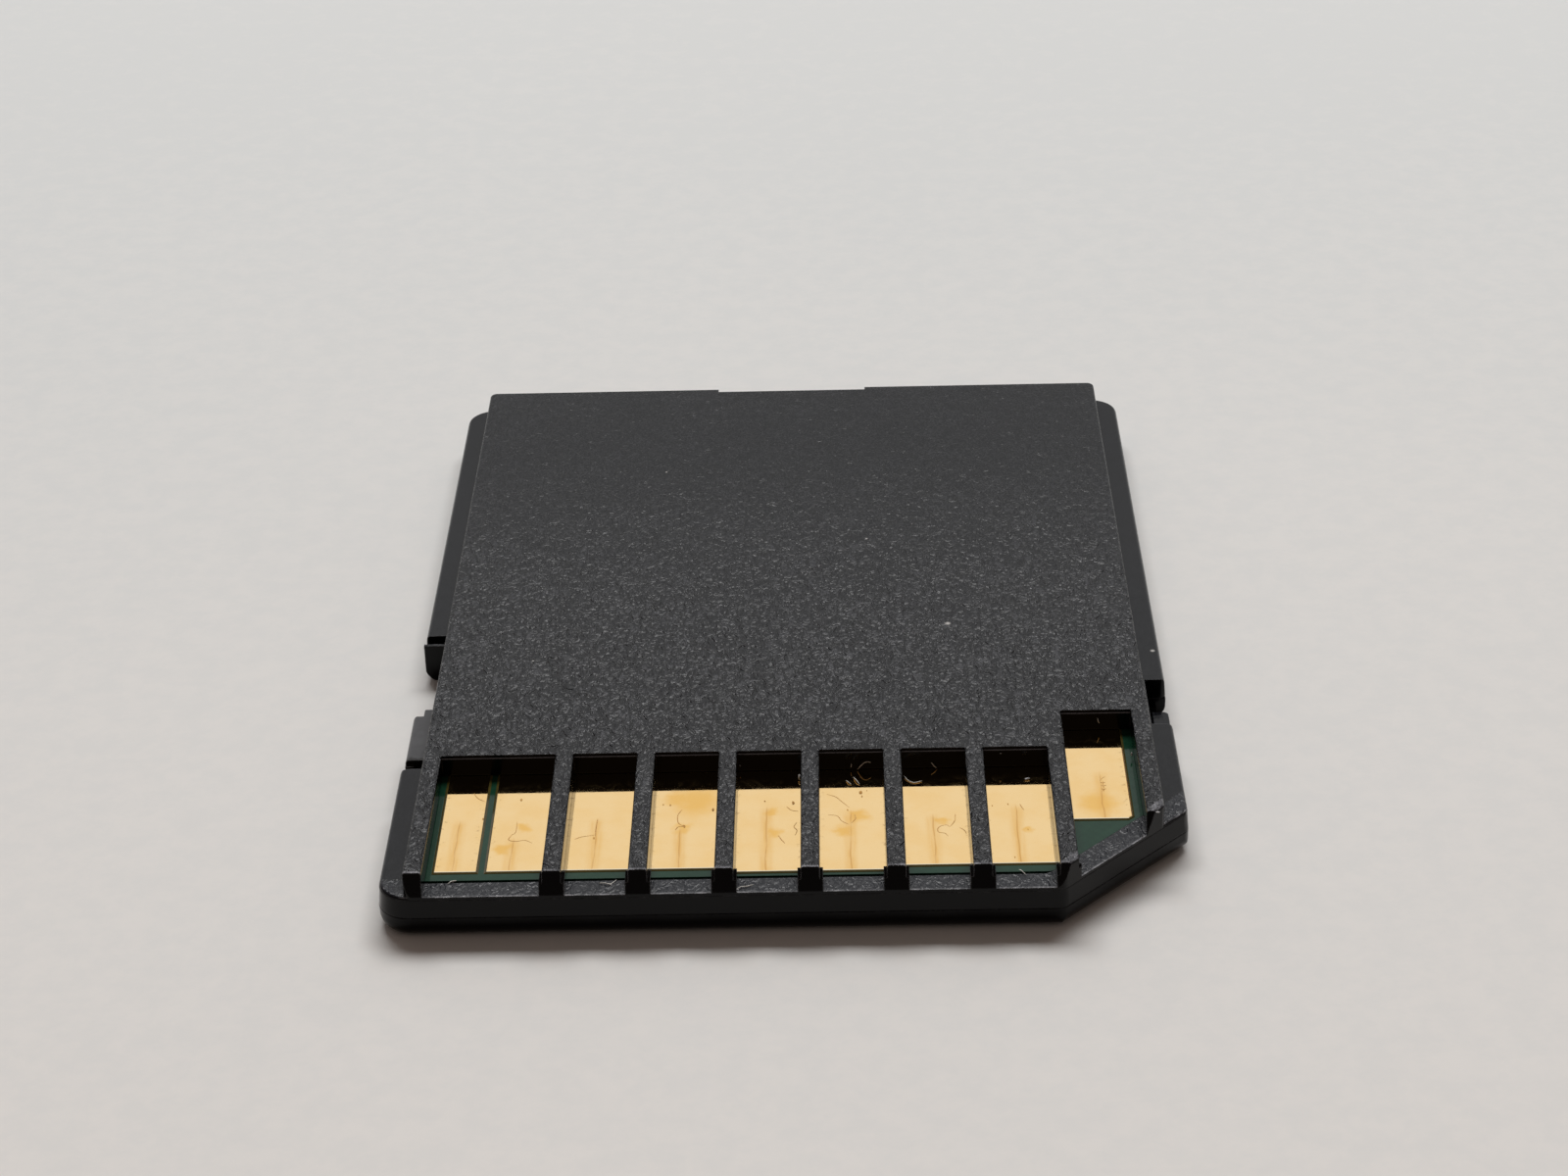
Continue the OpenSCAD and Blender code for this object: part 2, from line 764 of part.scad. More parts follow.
module pad(x, w, y_front, y_rear) {
    color([0.9, 0.77, 0.55])
        block([x, y_front, board_top_z], [x + w, y_rear, contact_z]);
}

// Contacts 1 to 6 run from right to left, 3 and 4 are the long ones
module contact_pad(i) {
    long = i == 3 || i == 4;
    if (i <= single_n)
        pad(row_x + (single_n - i) * pad_pitch - pad_w / 2, pad_w,
            front_y + (long ? long_pad_front : pad_front), pad_rear_y);
    if (i == 7)
        pad(next_pad_x, next_pad_w, front_y + pad_front, pad_rear_y);
    if (i == 8)
        pad(end_pad_x, end_pad_w, front_y + pad_front, pad_rear_y);
    if (i == 9)
        back_pad();
}

module back_pad() {
    right = back_pad_x + back_pad_w;
    y = front_y + back_pad_front;
    color([0.9, 0.77, 0.55])
        translate([0, 0, board_top_z])
            linear_extrude(pad_t)
                polygon([
                    [back_pad_x, y],
                    [right - back_pad_chamfer, y],
                    [right, y + back_pad_chamfer],
                    [right, back_pad_rear_y],
                    [back_pad_x, back_pad_rear_y]
                ]);
}

module memory_package() {
    chamfer = 2 * mark_d;
    color([0.12, 0.12, 0.13])
        translate([0, flash_mid_y, flash_low_z])
            difference() {
                linear_extrude(flash_t)
                    polygon([
                        [-flash_w / 2 + chamfer, -flash_l / 2],
                        [flash_w / 2, -flash_l / 2],
                        [flash_w / 2, flash_l / 2],
                        [-flash_w / 2, flash_l / 2],
                        [-flash_w / 2, -flash_l / 2 + chamfer]
                    ]);
                translate([-flash_w / 2 + 2 * chamfer, -flash_l / 2 + 2 * chamfer, -over])
                    cylinder(h = over + lead_t / 2, d = mark_d);
            }
}

// Each lead leaves the body at mid height, bends up and lies under the board
module memory_package_leads() {
    mid_z = flash_low_z + flash_t / 2;
    foot_z = board_low_z;
    knee = 0.45 * flash_lead_l;
    pitch = flash_lead_row / (flash_leads_n - 1);
    half_t = lead_t / 2;
    color([0.78, 0.78, 0.8])
        for (end = [0, 1])
            mirror([0, end, 0])
                for (i = [0 : flash_leads_n - 1])
                    translate([i * pitch - flash_lead_row / 2 + flash_lead_w / 2,
                               (end == 0 ? flash_mid_y : -flash_mid_y) + flash_l / 2, 0])
                        rotate([90, 0, -90])
                            linear_extrude(flash_lead_w)
                                polygon([
                                    [0, mid_z - half_t],
                                    [-knee - half_t, mid_z - half_t],
                                    [-knee - half_t, foot_z - lead_t],
                                    [-flash_lead_l, foot_z - lead_t],
                                    [-flash_lead_l, foot_z],
                                    [-knee + half_t, foot_z],
                                    [-knee + half_t, mid_z + half_t],
                                    [0, mid_z + half_t]
                                ]);
}

module controller_package() {
    mark_at = control_w / 2 - 2 * mark_d;
    color([0.14, 0.14, 0.15])
        translate([control_x, control_mid_y, package_top_z - control_t])
            difference() {
                translate([-control_w / 2, -control_w / 2, 0])
                    cube([control_w, control_w, control_t]);
                translate([-mark_at, -mark_at, -over])
                    cylinder(h = over + lead_t / 2, d = mark_d);
            }
}

module controller_lands() {
    pitch = control_land_row / (control_lands_n - 1);
    color([0.78, 0.78, 0.8])
        for (side = [0 : 3])
            translate([control_x, control_mid_y, package_top_z])
                rotate([0, 0, side * 90])
                    for (i = [0 : control_lands_n - 1])
                        translate([i * pitch - control_land_row / 2 - control_land_w / 2,
                                   control_w / 2 - control_land_l, 0])
                            cube([control_land_w, control_land_l, stand_off]);
}

// A chip soldered under the board, with metal ends that stand proud of its body
module chip(i, x, t, body_colour) {
    column = i % 2;
    line = floor(i / 2);
    length = chip_l - 2 * chip_end_step;
    translate([x + (column - 1 / 2) * chip_pitch, front_y + chip_front + line * chip_pitch,
               board_low_z - t])
        color(body_colour) {
            translate([-length / 2, -chip_w / 2 + chip_end_step, chip_end_step])
                cube([length, chip_w - 2 * chip_end_step, t - 2 * chip_end_step]);
            for (end = [0, 1])
                mirror([end, 0, 0])
                    translate([chip_l / 2 - chip_end_l, -chip_w / 2, 0])
                        cube([chip_end_l, chip_w, t]);
        }
}

contact_side_cover();
label_side_cover();
write_protect_slider();
circuit_board();
for (i = [1 : 9])
    contact_pad(i);
memory_package();
memory_package_leads();
controller_package();
controller_lands();
for (i = [1 : chips_n])
    chip(i - 1, capacitor_x, capacitor_t, [0.62, 0.5, 0.38]);
for (i = [1 : chips_n])
    chip(i - 1, resistor_x, resistor_t, [0.13, 0.13, 0.14]);
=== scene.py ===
"""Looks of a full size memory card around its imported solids.

The solids come from the frame and stay as they are. This script gives each one its finish, adds what is too fine
for them, such as the rims of the solder mask, lint and chips, and sets up a plain studio. Sizes are in millimetres
unless a name says otherwise, and a mesh turns them into metres as it is made.
"""

import logging
import math
from dataclasses import dataclass, field
from enum import Enum

import bpy
import numpy as np
from mathutils import Matrix, Vector


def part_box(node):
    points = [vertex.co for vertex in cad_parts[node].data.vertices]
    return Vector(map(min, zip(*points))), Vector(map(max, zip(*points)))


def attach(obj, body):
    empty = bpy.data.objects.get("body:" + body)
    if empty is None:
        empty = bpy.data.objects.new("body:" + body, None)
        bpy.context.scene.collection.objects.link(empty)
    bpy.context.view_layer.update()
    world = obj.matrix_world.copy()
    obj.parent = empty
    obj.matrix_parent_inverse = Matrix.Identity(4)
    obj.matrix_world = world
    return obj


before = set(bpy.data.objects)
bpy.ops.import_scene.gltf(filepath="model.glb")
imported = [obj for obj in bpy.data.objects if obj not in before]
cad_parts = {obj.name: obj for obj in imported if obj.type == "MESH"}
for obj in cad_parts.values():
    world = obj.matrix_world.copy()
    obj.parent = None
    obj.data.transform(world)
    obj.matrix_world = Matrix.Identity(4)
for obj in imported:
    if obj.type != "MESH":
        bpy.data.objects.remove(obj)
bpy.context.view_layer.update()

MM = 0.001
BODY = "card"
EDGE_SAMPLES = 4
CHIP_RINGS = 9
CHIP_SIDES = 14
CHIP_WAVES = 2.2
CHIP_SWELL = 0.28
CHIP_POLE = 0.02
log = logging.getLogger("memory_card")

Colour = tuple[float, float, float, float]
Socket = bpy.types.NodeSocket
Point = tuple[float, float]
Place = tuple[float, float, float]


def shown(red: int, green: int, blue: int) -> Colour:
    """Turn a colour as a screen shows it into linear light, by the standard curve of screens.

    Args:
        red: Red from 0 to 255.
        green: Green from 0 to 255.
        blue: Blue from 0 to 255.

    Returns:
        The colour in linear light, opaque.
    """
    share = np.array([red, green, blue]) / 255
    light = np.where(share <= 0.04045, share / 12.92, ((share + 0.055) / 1.055) ** 2.4)
    return (*(float(value) for value in light), 1.0)


class NodeSheet:
    """One material's node graph, filled in by short calls."""

    def __init__(self, name: str) -> None:
        """Start a material that has only its shader and output.

        Args:
            name: The material's name.
        """
        self.material = bpy.data.materials.new(name)
        self.material.use_nodes = True
        self.tree = self.material.node_tree
        self.shader = self.tree.nodes["Principled BSDF"]
        self._places: Socket | None = None

    def feed(self, socket: Socket, value: object) -> None:
        """Join a socket to another one, or set its own value.

        Args:
            socket: The input to fill.
            value: An output socket, or a plain number or colour.
        """
        if isinstance(value, bpy.types.NodeSocket):
            self.tree.links.new(value, socket)
        else:
            socket.default_value = value

    def node(self, kind: str, **settings: object) -> bpy.types.Node:
        """Add a node and set its options.

        Args:
            kind: Blender's name of the node's type.
            **settings: Options of the node and their values.

        Returns:
            The new node.
        """
        made = self.tree.nodes.new(kind)
        for name, value in settings.items():
            setattr(made, name, value)
        return made

    def place(self) -> Socket:
        """Return the object's own coordinates in millimetres."""
        if self._places is None:
            source = self.node("ShaderNodeTexCoord")
            scaled = self.node("ShaderNodeVectorMath", operation="SCALE")
            self.feed(scaled.inputs[0], source.outputs["Object"])
            scaled.inputs["Scale"].default_value = 1 / MM
            self._places = scaled.outputs[0]
        return self._places

    def axes(self, vector: Socket) -> tuple[Socket, Socket, Socket]:
        """Split a vector into x, y and z.

        Args:
            vector: The vector to split.

        Returns:
            Its three parts.
        """
        split = self.node("ShaderNodeSeparateXYZ")
        self.feed(split.inputs[0], vector)
        return split.outputs[0], split.outputs[1], split.outputs[2]

    def calc(self, operation: str, *values: object, clamp: bool = False) -> Socket:
        """Add one step of arithmetic.

        Args:
            operation: Blender's name of the operation.
            *values: Its inputs, numbers or sockets.
            clamp: Whether the result is held from 0 to 1.

        Returns:
            The result.
        """
        made = self.node("ShaderNodeMath", operation=operation, use_clamp=clamp)
        for socket, value in zip(made.inputs, values):
            self.feed(socket, value)
        return made.outputs[0]

    def times(self, first: object, second: object) -> Socket:
        """Multiply two values."""
        return self.calc("MULTIPLY", first, second)

    def apart(self, first: object, second: object) -> Socket:
        """Return how far apart two values are."""
        return self.calc("ABSOLUTE", self.calc("SUBTRACT", first, second))

    def fade(self, value: Socket, start: float, end: float, low: float = 0.0, high: float = 1.0) -> Socket:
        """Ease from low to high while a value goes from start to end.

        Args:
            value: What is measured.
            start: Where the result is low.
            end: Where it is high. It may be less than start.
            low: The first result.
            high: The last result.

        Returns:
            The eased value.
        """
        made = self.node("ShaderNodeMapRange", interpolation_type="SMOOTHSTEP")
        turned = end < start
        limits = (end, start, high, low) if turned else (start, end, low, high)
        for socket, number in zip(made.inputs, (value, *limits)):
            self.feed(socket, number)
        return made.outputs[0]

    def noise(self, scale: float, detail: float = 2.0, roughness: float = 0.5, distortion: float = 0.0,
              vector: Socket | None = None) -> Socket:
        """Add cloudy noise.

        Args:
            scale: Clouds per millimetre.
            detail: Octaves.
            roughness: How strong the finer octaves are.
            distortion: How much the clouds are wrung.
            vector: Where it is read, or None for the object's own coordinates.

        Returns:
            The noise, about 0.5 on average.
        """
        made = self.node("ShaderNodeTexNoise")
        self.feed(made.inputs["Vector"], vector if vector is not None else self.place())
        settings = {"Scale": scale, "Detail": detail, "Roughness": roughness, "Distortion": distortion}
        for name, number in settings.items():
            made.inputs[name].default_value = number
        return made.outputs[0]

    def stretched(self, x: float, y: float, z: float) -> Socket:
        """Return the object's coordinates multiplied along each axis.

        Args:
            x: Factor across.
            y: Factor along.
            z: Factor upwards.

        Returns:
            The stretched coordinates.
        """
        made = self.node("ShaderNodeVectorMath", operation="MULTIPLY")
        self.feed(made.inputs[0], self.place())
        made.inputs[1].default_value = (x, y, z)
        return made.outputs[0]

    def wrung(self, scale: float, reach: float) -> Socket:
        """Return the object's coordinates, shifted in x and y by cloudy noise.

        Args:
            scale: Clouds per millimetre.
            reach: Largest difference between two shifts.

        Returns:
            The shifted coordinates.
        """
        moved = self.node("ShaderNodeVectorMath", operation="MULTIPLY_ADD")
        cloud = self.node("ShaderNodeTexNoise")
        self.feed(cloud.inputs["Vector"], self.place())
        cloud.inputs["Scale"].default_value = scale
        self.feed(moved.inputs[0], cloud.outputs["Color"])
        moved.inputs[1].default_value = (reach, reach, 0.0)
        middle = self.node("ShaderNodeVectorMath", operation="SUBTRACT")
        self.feed(middle.inputs[0], self.place())
        middle.inputs[1].default_value = (reach / 2, reach / 2, 0.0)
        self.feed(moved.inputs[2], middle.outputs[0])
        return moved.outputs[0]

    def mix(self, share: object, first: object, second: object) -> Socket:
        """Blend two colours.

        Args:
            share: 0 for the first, 1 for the second.
            first: A colour or socket.
            second: A colour or socket.

        Returns:
            The blended colour.
        """
        made = self.node("ShaderNodeMix", data_type="RGBA", clamp_factor=True)
        for index, value in ((0, share), (6, first), (7, second)):
            self.feed(made.inputs[index], value)
        return made.outputs[2]

    def spots(self, spots: tuple[tuple[float, float, float], ...], vector: Socket | None = None) -> Socket:
        """Mark round spots seen from above: 1 in the middle fading to 0 at the radius.

        Args:
            spots: Each spot's x, y and radius.
            vector: Where it is read, or None for the object's own coordinates.

        Returns:
            The strongest mark at each point.
        """
        x, y, _ = self.axes(vector if vector is not None else self.place())
        total: object = 0.0
        for centre_x, centre_y, radius in spots:
            across = self.calc("SUBTRACT", x, centre_x)
            along = self.calc("SUBTRACT", y, centre_y)
            far = self.calc("SQRT", self.calc("ADD", self.times(across, across), self.times(along, along)))
            total = self.calc("MAXIMUM", total, self.fade(far, radius, radius / 5))
        return total

    def facing_up(self, start: float, end: float) -> Socket:
        """Mark what looks up or down, by the steepness of the surface.

        Args:
            start: Share of the normal along z where the mark begins.
            end: Share where it is whole.

        Returns:
            0 on walls and 1 on level faces.
        """
        source = self.node("ShaderNodeTexCoord")
        _, _, upright = self.axes(source.outputs["Normal"])
        return self.fade(self.calc("ABSOLUTE", upright), start, end)

    def edges(self, radius: float, start: float, end: float) -> tuple[Socket, Socket]:
        """Find outer edges, where a rounded normal leaves the true one and the air around is open.

        Args:
            radius: Radius of the rounding.
            start: Turn of the normal, as 1 less its cosine, where the mark begins.
            end: Turn where it is whole.

        Returns:
            The mark, and the rounded normal.
        """
        rounded = self.node("ShaderNodeBevel", samples=EDGE_SAMPLES)
        rounded.inputs["Radius"].default_value = radius * MM
        true = self.node("ShaderNodeNewGeometry")
        dot = self.node("ShaderNodeVectorMath", operation="DOT_PRODUCT")
        self.feed(dot.inputs[0], rounded.outputs[0])
        self.feed(dot.inputs[1], true.outputs["True Normal"])
        turn = self.calc("SUBTRACT", 1.0, dot.outputs["Value"])
        open_air = self.node("ShaderNodeAmbientOcclusion", samples=EDGE_SAMPLES)
        open_air.inputs["Distance"].default_value = 3 * radius * MM
        outer = self.fade(open_air.outputs["AO"], 0.55, 0.95)
        return self.times(self.fade(turn, start, end), outer), rounded.outputs[0]

    def bump(self, height: Socket, depth: float, normal: Socket | None = None) -> None:
        """Give the shader a rough surface.

        Args:
            height: Height from 0 to 1.
            depth: How high 1 stands.
            normal: A normal to start from, or None.
        """
        made = self.node("ShaderNodeBump")
        made.inputs["Distance"].default_value = depth * MM
        made.inputs["Strength"].default_value = 1.0
        self.feed(made.inputs["Height"], height)
        if normal is not None:
            self.feed(made.inputs["Normal"], normal)
        self.feed(self.shader.inputs["Normal"], made.outputs[0])

    def finish(self, colour: object, roughness: object, metal: float = 0.0,
               specular: float = 0.5) -> bpy.types.Material:
        """Set the shader's main inputs.

        Args:
            colour: Base colour or socket.
            roughness: Roughness or socket.
            metal: 1 for a metal.
            specular: Strength of reflections at right angles, 0.5 for plain plastic.

        Returns:
            The material.
        """
        self.feed(self.shader.inputs["Base Color"], colour)
        self.feed(self.shader.inputs["Roughness"], roughness)
        self.shader.inputs["Metallic"].default_value = metal
        self.shader.inputs["Specular IOR Level"].default_value = specular
        return self.material


class Grain(Enum):
    """How a mould's surface was eroded: clouds per millimetre, depth in millimetres and share of the painted glint
    colour.
    """

    COARSE = (3.0, 0.08, 0.12)
    FINE = (5.0, 0.006, 0.05)


@dataclass(frozen=True)
class Band:
    """Level ground near one height that is painted a colour, mostly a painted highlight or painted shade, from one
    depth towards the front if that is given.

    Depth counts from the card's middle to its front edge, and lean tips the shading forwards.
    """

    z: float
    half: float
    colour: Colour
    depth: float | None = None
    patchy: bool = False
    share: float = 1.0
    lean: float = 0.0


@dataclass(frozen=True)
class MouldedPlastic:
    """Black moulded plastic, spark eroded on its broad faces and smooth on its walls.

    Level faces take the face colour and walls the darker wall colour, as painted light on the faces and painted shade
    on the walls. The broad faces carry sharp ridges along the middle contour of wrung clouds, higher towards the
    front, and painted glints lie on the ridges' tops in places. Dull spots lie between them. Outer edges are painted
    lighter, partly as wear and partly as a painted highlight; bands are painted highlights, painted shade or a
    lighter tone; and one end is darker where it is given, from the first y to the second. Along the cut corner the
    depth towards the front is x - y less cut_offset, divided by cut_divisor, plus cut_depth.
    """

    name: str
    face: Colour
    # face is painted light on level faces, and the wall colour is painted shade on walls
    shaded_wall: Colour
    painted_glint: Colour
    edge_wear_and_highlight: Colour
    grain: Grain
    raised_z: float = 2.1
    dust: tuple[tuple[float, float, float], ...] = ()
    edge_radius: float = 0.05
    dust_colour: Colour = shown(190, 188, 184)
    bands: tuple[Band, ...] = ()
    specular: float = 0.175
    lip_depth: float = 14.95
    lip_z: float = 1.4
    cut_offset: float = 22.8
    cut_divisor: float = 1.18
    cut_depth: float = 15.0
    seam_z: float = 0.7
    rubbed_from: float = 12.0
    rubbed_to: float = -6.0
    rubbed_least: float = 0.3
    dull: float = 0.42
    glossy: float = 0.14
    ridge_half: float = 0.055
    ridge_fall: float = -2.0
    ridge_fine: float = 0.15
    dark_end: Colour = shown(24, 20, 16)
    dark_end_y: tuple[float, float] | None = None
    dark_end_ragged: float = 0.4
    dark_end_share: float = 0.9

    def material(self) -> bpy.types.Material:
        """Build the finish and return its material."""
        sheet = NodeSheet(self.name)
        scale, depth, painted_glint_share = self.grain.value
        x, y, z = sheet.axes(sheet.place())
        cut = sheet.calc("SUBTRACT", sheet.calc("SUBTRACT", x, y), self.cut_offset)
        slanted = sheet.calc("MULTIPLY_ADD", cut, 1 / self.cut_divisor, self.cut_depth)
        depth_in = sheet.calc("MAXIMUM", sheet.times(y, -1.0), slanted)
        level = sheet.facing_up(0.45, 0.9)
        lip = sheet.fade(depth_in, self.lip_depth, self.lip_depth + 0.1, 0.12, 0.4)
        lip = sheet.times(lip, sheet.fade(z, self.lip_z + 0.2, self.lip_z + 0.1))
        raised = sheet.calc("MAXIMUM", sheet.fade(z, self.raised_z - 0.2, self.raised_z - 0.1), lip)
        rubbed = sheet.fade(y, self.rubbed_from, self.rubbed_to, self.rubbed_least, 1.0)
        skin = sheet.times(sheet.times(level, raised), rubbed)
        clouds = sheet.noise(scale, 1.5, 0.45, 0.9, sheet.stretched(1.6, 0.7, 1.0))
        contour = sheet.apart(clouds, 0.5)
        line = sheet.fade(contour, self.ridge_half, 0.0)
        broken = sheet.fade(sheet.noise(scale * 0.6, 2.0, 0.5, 0.4), 0.3, 0.48)
        patches = sheet.fade(sheet.noise(0.45, 3.0, 0.6), 0.3, 0.7, 0.35, 1.0)
        # Painted glints: a pale colour on the ridge tops that stands in for highlights
        painted_glints = sheet.times(sheet.times(line, broken), sheet.times(skin, patches))
        tint = sheet.noise(1.3, 4.0, 0.65)
        face = sheet.mix(sheet.fade(tint, 0.3, 0.7, 0.0, 0.35), self.face, self.shaded_wall)
        # Painted light and shade: level faces take the lit face colour, walls the dark wall colour
        colour = sheet.mix(level, self.shaded_wall, face)
        colour = sheet.mix(sheet.times(painted_glints, painted_glint_share), colour, self.painted_glint)
        wear_and_highlight_patches = sheet.fade(sheet.noise(2.5, 4.0, 0.7), 0.42, 0.62, 0.25, 1.0)
        lean = None
        # Bands paint highlights, shade or a lighter tone on level ground
        for band in self.bands:
            height_off = sheet.apart(z, band.z)
            mark = sheet.times(level, sheet.fade(height_off, band.half, band.half / 2, 0.0, band.share))
            if band.depth is not None:
                mark = sheet.times(mark, sheet.fade(depth_in, band.depth, band.depth + 0.08))
            if band.patchy:
                mark = sheet.times(mark, wear_and_highlight_patches)
            if band.lean:
                slope = sheet.times(mark, sheet.times(y, band.lean / depth))
                lean = slope if lean is None else sheet.calc("ADD", lean, slope)
            colour = sheet.mix(mark, colour, band.colour)
        # Outer edges are painted lighter in patches: partly wear, partly a painted highlight
        edge, rounded = sheet.edges(self.edge_radius, 0.02, 0.2)
        from_seam = sheet.apart(z, self.seam_z)
        edge = sheet.times(edge, sheet.fade(from_seam, 0.05, 0.15, 0.15, 1.0))
        colour = sheet.mix(sheet.times(edge, wear_and_highlight_patches), colour, self.edge_wear_and_highlight)
        if self.dust:
            colour = sheet.mix(sheet.times(sheet.spots(self.dust), level), colour, self.dust_colour)
        # One end is coloured darker, with a ragged border
        if self.dark_end_y is not None:
            ragged = sheet.calc("MULTIPLY_ADD", sheet.noise(4.0, 3.0, 0.7), self.dark_end_ragged, y)
            dark_end = sheet.times(sheet.fade(ragged, *self.dark_end_y), self.dark_end_share)
            colour = sheet.mix(dark_end, colour, self.dark_end)
        fine = sheet.noise(scale * 4, 2.0, 0.6)
        ridge = sheet.calc("MULTIPLY_ADD", fine, self.ridge_fine, sheet.times(contour, self.ridge_fall))
        height = sheet.times(ridge, skin)
        sheet.bump(height if lean is None else sheet.calc("ADD", height, lean), depth, rounded)
        spots = sheet.times(sheet.fade(fine, 0.62, 0.35), sheet.fade(skin, 0.0, 0.5))
        roughness = sheet.calc("MULTIPLY_ADD", spots, self.dull - self.glossy, self.glossy)
        return sheet.finish(colour, roughness, specular=self.specular)


@dataclass(frozen=True)
class PadWear:
    """Marks on one contact, placed from above.

    streak is the x, rear y and front y of the line that a host's spring rubbed. stains hold x, y and radius.
    specks hold x, y and size of flecks of grime. fibres are routes of lint that lies on the gold.
    """

    streak: tuple[float, float, float]
    stains: tuple[tuple[float, float, float], ...] = ()
    specks: tuple[tuple[float, float, float], ...] = ()
    fibres: tuple[tuple[Point, ...], ...] = ()


@dataclass(frozen=True)
class GoldPlating:
    """Thin gold over nickel and copper: smooth, pale and mirror like, rubbed brown along one line on each pad.

    Its sides are soiled in places, and its front end carries a painted highlight.
    """

    name: str
    wear: PadWear
    left: float
    right: float
    front: float
    gold: Colour = shown(250, 216, 158)
    painted_front_highlight: Colour = shown(255, 244, 214)
    soiled: Colour = shown(168, 134, 88)
    stain: Colour = shown(242, 190, 98)
    rubbed: Colour = shown(236, 184, 100)
    scratch: Colour = shown(186, 128, 62)
    stain_share: float = 0.8
    halo_share: float = 0.75
    core_share: float = 0.6
    wipe_depth: float = 0.0003

    def material(self) -> bpy.types.Material:
        """Build the finish and return its material."""
        sheet = NodeSheet(self.name)
        x, y, _ = sheet.axes(sheet.place())
        streak_x, rear, front = self.wear.streak
        drift = sheet.calc("MULTIPLY_ADD", sheet.noise(0.9, 2.0), 0.12, streak_x - 0.06)
        off = sheet.apart(x, drift)
        run = sheet.times(sheet.fade(y, rear + 0.1, rear - 0.35), sheet.fade(y, front - 0.3, front))
        hairs = sheet.noise(1.0, 3.0, 0.6, vector=sheet.stretched(9.0, 0.7, 1.0))
        core = sheet.times(sheet.fade(off, 0.035, 0.0), sheet.fade(hairs, 0.35, 0.55, 0.3, 0.8))
        halo = sheet.times(sheet.fade(off, 0.3, 0.0), sheet.fade(hairs, 0.3, 0.7, 0.4, 1.0))
        uneven = sheet.noise(0.9, 4.0, 0.6)
        colour = sheet.mix(sheet.fade(uneven, 0.35, 0.75, 0.0, 0.25), self.gold, self.stain)
        if self.wear.stains:
            stains = sheet.spots(self.wear.stains, sheet.wrung(3.0, 0.5))
            colour = sheet.mix(sheet.times(stains, self.stain_share), colour, self.stain)
        colour = sheet.mix(sheet.times(sheet.times(halo, run), self.halo_share), colour, self.rubbed)
        colour = sheet.mix(sheet.times(sheet.times(core, run), self.core_share), colour, self.scratch)
        from_side = sheet.calc("MINIMUM", sheet.calc("SUBTRACT", x, self.left), sheet.calc("SUBTRACT", self.right, x))
        dirt = sheet.fade(sheet.noise(5.0, 5.0, 0.75), 0.54, 0.68)
        dirt = sheet.times(dirt, sheet.fade(from_side, 0.24, 0.06, 0.0, 0.7))
        colour = sheet.mix(dirt, colour, self.soiled)
        # Painted highlight along the pad's front end
        colour = sheet.mix(sheet.fade(y, self.front + 0.07, self.front + 0.03), colour, self.painted_front_highlight)
        roughness = sheet.fade(sheet.noise(2.2, 4.0, 0.7, 1.2), 0.35, 0.7, 0.03, 0.08)
        wipes = sheet.noise(1.0, 2.0, 0.5, vector=sheet.stretched(30.0, 1.2, 1.0))
        sheet.bump(wipes, self.wipe_depth)
        return sheet.finish(colour, roughness, metal=1.0)


@dataclass(frozen=True)
class SolderMask:
    """Green lacquer over a woven board: a faint weave of square cells shows through a glossy coat."""

    name: str
    green: Colour = shown(30, 66, 48)
    deep: Colour = shown(18, 52, 37)
    weave_pitch: float = 0.42
    weave_share: float = 0.3
    depth: float = 0.0012
    specular: float = 0.2

    def material(self) -> bpy.types.Material:
        """Build the finish and return its material."""
        sheet = NodeSheet(self.name)
        x, y, _ = sheet.axes(sheet.place())
        waves = [sheet.calc("SINE", sheet.times(axis, 2 * math.pi / self.weave_pitch)) for axis in (x, y)]
        weave = sheet.calc("MULTIPLY_ADD", sheet.times(waves[0], waves[1]), 0.5, 0.5)
        cloud = sheet.noise(1.1, 3.0, 0.6)
        patches = sheet.fade(cloud, 0.3, 0.7, 0.0, 0.5)
        share = sheet.calc("MULTIPLY_ADD", weave, self.weave_share, patches, clamp=True)
        sheet.bump(sheet.calc("MULTIPLY_ADD", weave, self.weave_share, cloud), self.depth)
        return sheet.finish(sheet.mix(share, self.green, self.deep), sheet.fade(cloud, 0.3, 0.7, 0.06, 0.1),
                            specular=self.specular)


@dataclass(frozen=True)
class Speckled:
    """A plain body of one material, clouded and grained: resin, tin, ceramic, lint or grime."""

    name: str
    first: Colour
    second: Colour
    clouds: float
    roughness: float
    depth: float = 0.004
    metal: float = 0.0
    specular: float = 0.5
    uneven: float = 0.07

    def material(self) -> bpy.types.Material:
        """Build the finish and return its material."""
        sheet = NodeSheet(self.name)
        cloud = sheet.noise(self.clouds, 4.0, 0.65)
        grain = sheet.noise(self.clouds * 7, 2.0, 0.5)
        sheet.bump(sheet.calc("MULTIPLY_ADD", grain, 0.5, cloud), self.depth)
        roughness = sheet.fade(cloud, 0.3, 0.7, self.roughness - self.uneven, self.roughness + self.uneven)
        return sheet.finish(sheet.mix(sheet.fade(cloud, 0.35, 0.65), self.first, self.second), roughness,
                            metal=self.metal, specular=self.specular)


